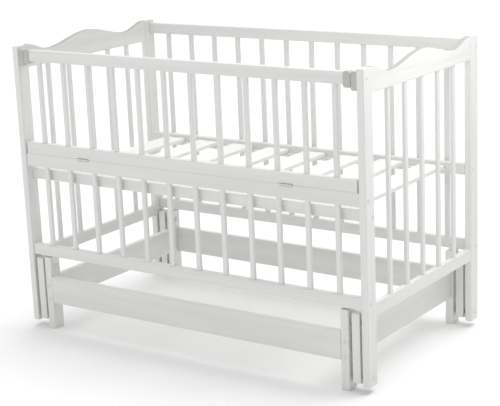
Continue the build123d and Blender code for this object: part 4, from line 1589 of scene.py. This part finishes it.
@dataclass
class Studio:
    """White studio: a wide paper floor, even white light, a softbox, a wide high light and a dark card."""

    finishes: Finishes
    azimuth: float = 35.14
    elevation: float = 14.43
    distance: float = 4.4
    roll: float = -2.37
    target: tuple[float, float, float] = (0.0015, 0.0126, 0.3928)
    lens: float = 102.2
    floor_reach: float = 40.0
    floor_cells: int = 8
    flag: tuple[float, float, float, float] = (9.0, 10.0, 0.6, 6.5)
    world_strength: float = 0.78
    softbox_place: tuple[float, float, float] = (1.1, 0.0, 1.35)
    softbox_aim: tuple[float, float, float] = (0.62, 0.0, 0.8)
    softbox_size: float = 0.6
    softbox_power: float = 3.8
    sun_toward: tuple[float, float, float] = (0.04, 0.32, 0.95)
    sun_strength: float = 1.55
    sun_angle: float = 60.0

    def build(self) -> None:
        """Builds the floor, the lights and the camera."""
        self._floor()
        self._world()
        self._softbox("softbox_right", self.softbox_place, self.softbox_aim, self.softbox_size, self.softbox_power)
        self._sun("high_sun", self.sun_toward, self.sun_strength, self.sun_angle)
        self._flag()
        self._camera()
        bpy.context.scene.view_settings.view_transform = "Standard"

    def _floor(self) -> None:
        """Builds the floor as a grid of squares at z = 0."""
        line = np.linspace(-self.floor_reach, self.floor_reach, self.floor_cells + 1)
        x, y = np.meshgrid(line, line, indexing="ij")
        points = np.stack([x, y, np.zeros_like(x)], axis=-1).reshape(-1, 3)
        number = np.arange(len(points)).reshape(x.shape)
        quads = np.stack([number[:-1, :-1], number[1:, :-1], number[1:, 1:], number[:-1, 1:]], axis=-1)
        mesh = bpy.data.meshes.new("studio_floor")
        mesh.from_pydata(points.tolist(), [], quads.reshape(-1, 4).tolist())
        floor = bpy.data.objects.new("studio_floor", mesh)
        bpy.context.scene.collection.objects.link(floor)
        dress(floor, self.finishes.paper)

    def _flag(self) -> None:
        """Hangs a dark card far off at the right, unseen by the camera, that keeps light off the right end."""
        x, y, low, high = self.flag
        points = [(x, -y, low), (x, y, low), (x, y, high), (x, -y, high)]
        mesh = bpy.data.meshes.new("flag")
        mesh.from_pydata(points, [], [(3, 2, 1, 0)])
        card = bpy.data.objects.new("flag", mesh)
        card.visible_camera = False
        bpy.context.scene.collection.objects.link(card)
        dress(card, self.finishes.card)

    def _world(self) -> None:
        """Surrounds the crib with even white light."""
        world = bpy.data.worlds.new("studio_white")
        world.use_nodes = True
        background = world.node_tree.nodes["Background"]
        background.inputs["Color"].default_value = (1.0, 1.0, 1.0, 1)
        background.inputs["Strength"].default_value = self.world_strength
        bpy.context.scene.world = world

    def _softbox(
        self, name: str, place: tuple[float, float, float], aim: tuple[float, float, float], size: float, power: float
    ) -> None:
        """Adds one square area light.

        Args:
            name: name of the light.
            place: where it hangs.
            aim: point that it faces.
            size: length of its sides.
            power: its power in watts.
        """
        data = bpy.data.lights.new(name, "AREA")
        data.size = size
        data.energy = power
        light = bpy.data.objects.new(name, data)
        light.location = place
        light.rotation_euler = (Vector(aim) - Vector(place)).to_track_quat("-Z", "Y").to_euler()
        light.visible_camera = False
        bpy.context.scene.collection.objects.link(light)

    def _sun(self, name: str, toward: tuple[float, float, float], strength: float, spread_angle: float) -> None:
        """Adds one wide, soft distant light.

        Args:
            name: name of the light.
            toward: direction that it comes from.
            strength: light on a surface that faces it.
            spread_angle: its apparent width in degrees.
        """
        data = bpy.data.lights.new(name, "SUN")
        data.energy = strength
        data.angle = math.radians(spread_angle)
        light = bpy.data.objects.new(name, data)
        light.rotation_euler = (-Vector(toward)).to_track_quat("-Z", "Y").to_euler()
        bpy.context.scene.collection.objects.link(light)

    def _camera(self) -> None:
        """Places the camera on its sight line, rolled a little about it."""
        data = bpy.data.cameras.new("camera")
        data.lens = self.lens
        camera = bpy.data.objects.new("camera", data)
        turn, lift = math.radians(self.azimuth), math.radians(self.elevation)
        away = Vector((math.sin(turn) * math.cos(lift), -math.cos(turn) * math.cos(lift), math.sin(lift)))
        camera.location = Vector(self.target) + self.distance * away
        facing = (-away).to_track_quat("-Z", "Y").to_matrix()
        rolled = facing @ Euler((0, 0, math.radians(self.roll))).to_matrix()
        camera.rotation_euler = rolled.to_euler()
        bpy.context.scene.collection.objects.link(camera)
        bpy.context.scene.camera = camera


def main() -> None:
    """Builds the crib's sub-assemblies in order, then the studio; each piece logs its face count."""
    logging.basicConfig(level=logging.INFO, format="%(name)s: %(message)s")
    finishes = Finishes()
    woodwork = Woodwork(finishes)
    drop_side = DropSide(woodwork)
    Stand(woodwork).build()
    Rockers(woodwork).build()
    EndPanels(woodwork).build()
    CotFrame(woodwork).build(drop_side.pockets(Corner.FRONT_TOP, "front_middle_rail"))
    drop_side.build()
    bars = Bars(finishes)
    bars.row("back_bars", "cot")
    bars.row("front_lower_bars", "cot")
    bars.row("drop_side_bars", "drop_side")
    bars.ends()
    Fasteners(finishes).build()
    Fittings(finishes).build()
    Studio(finishes).build()


if __name__ == "__main__":
    main()
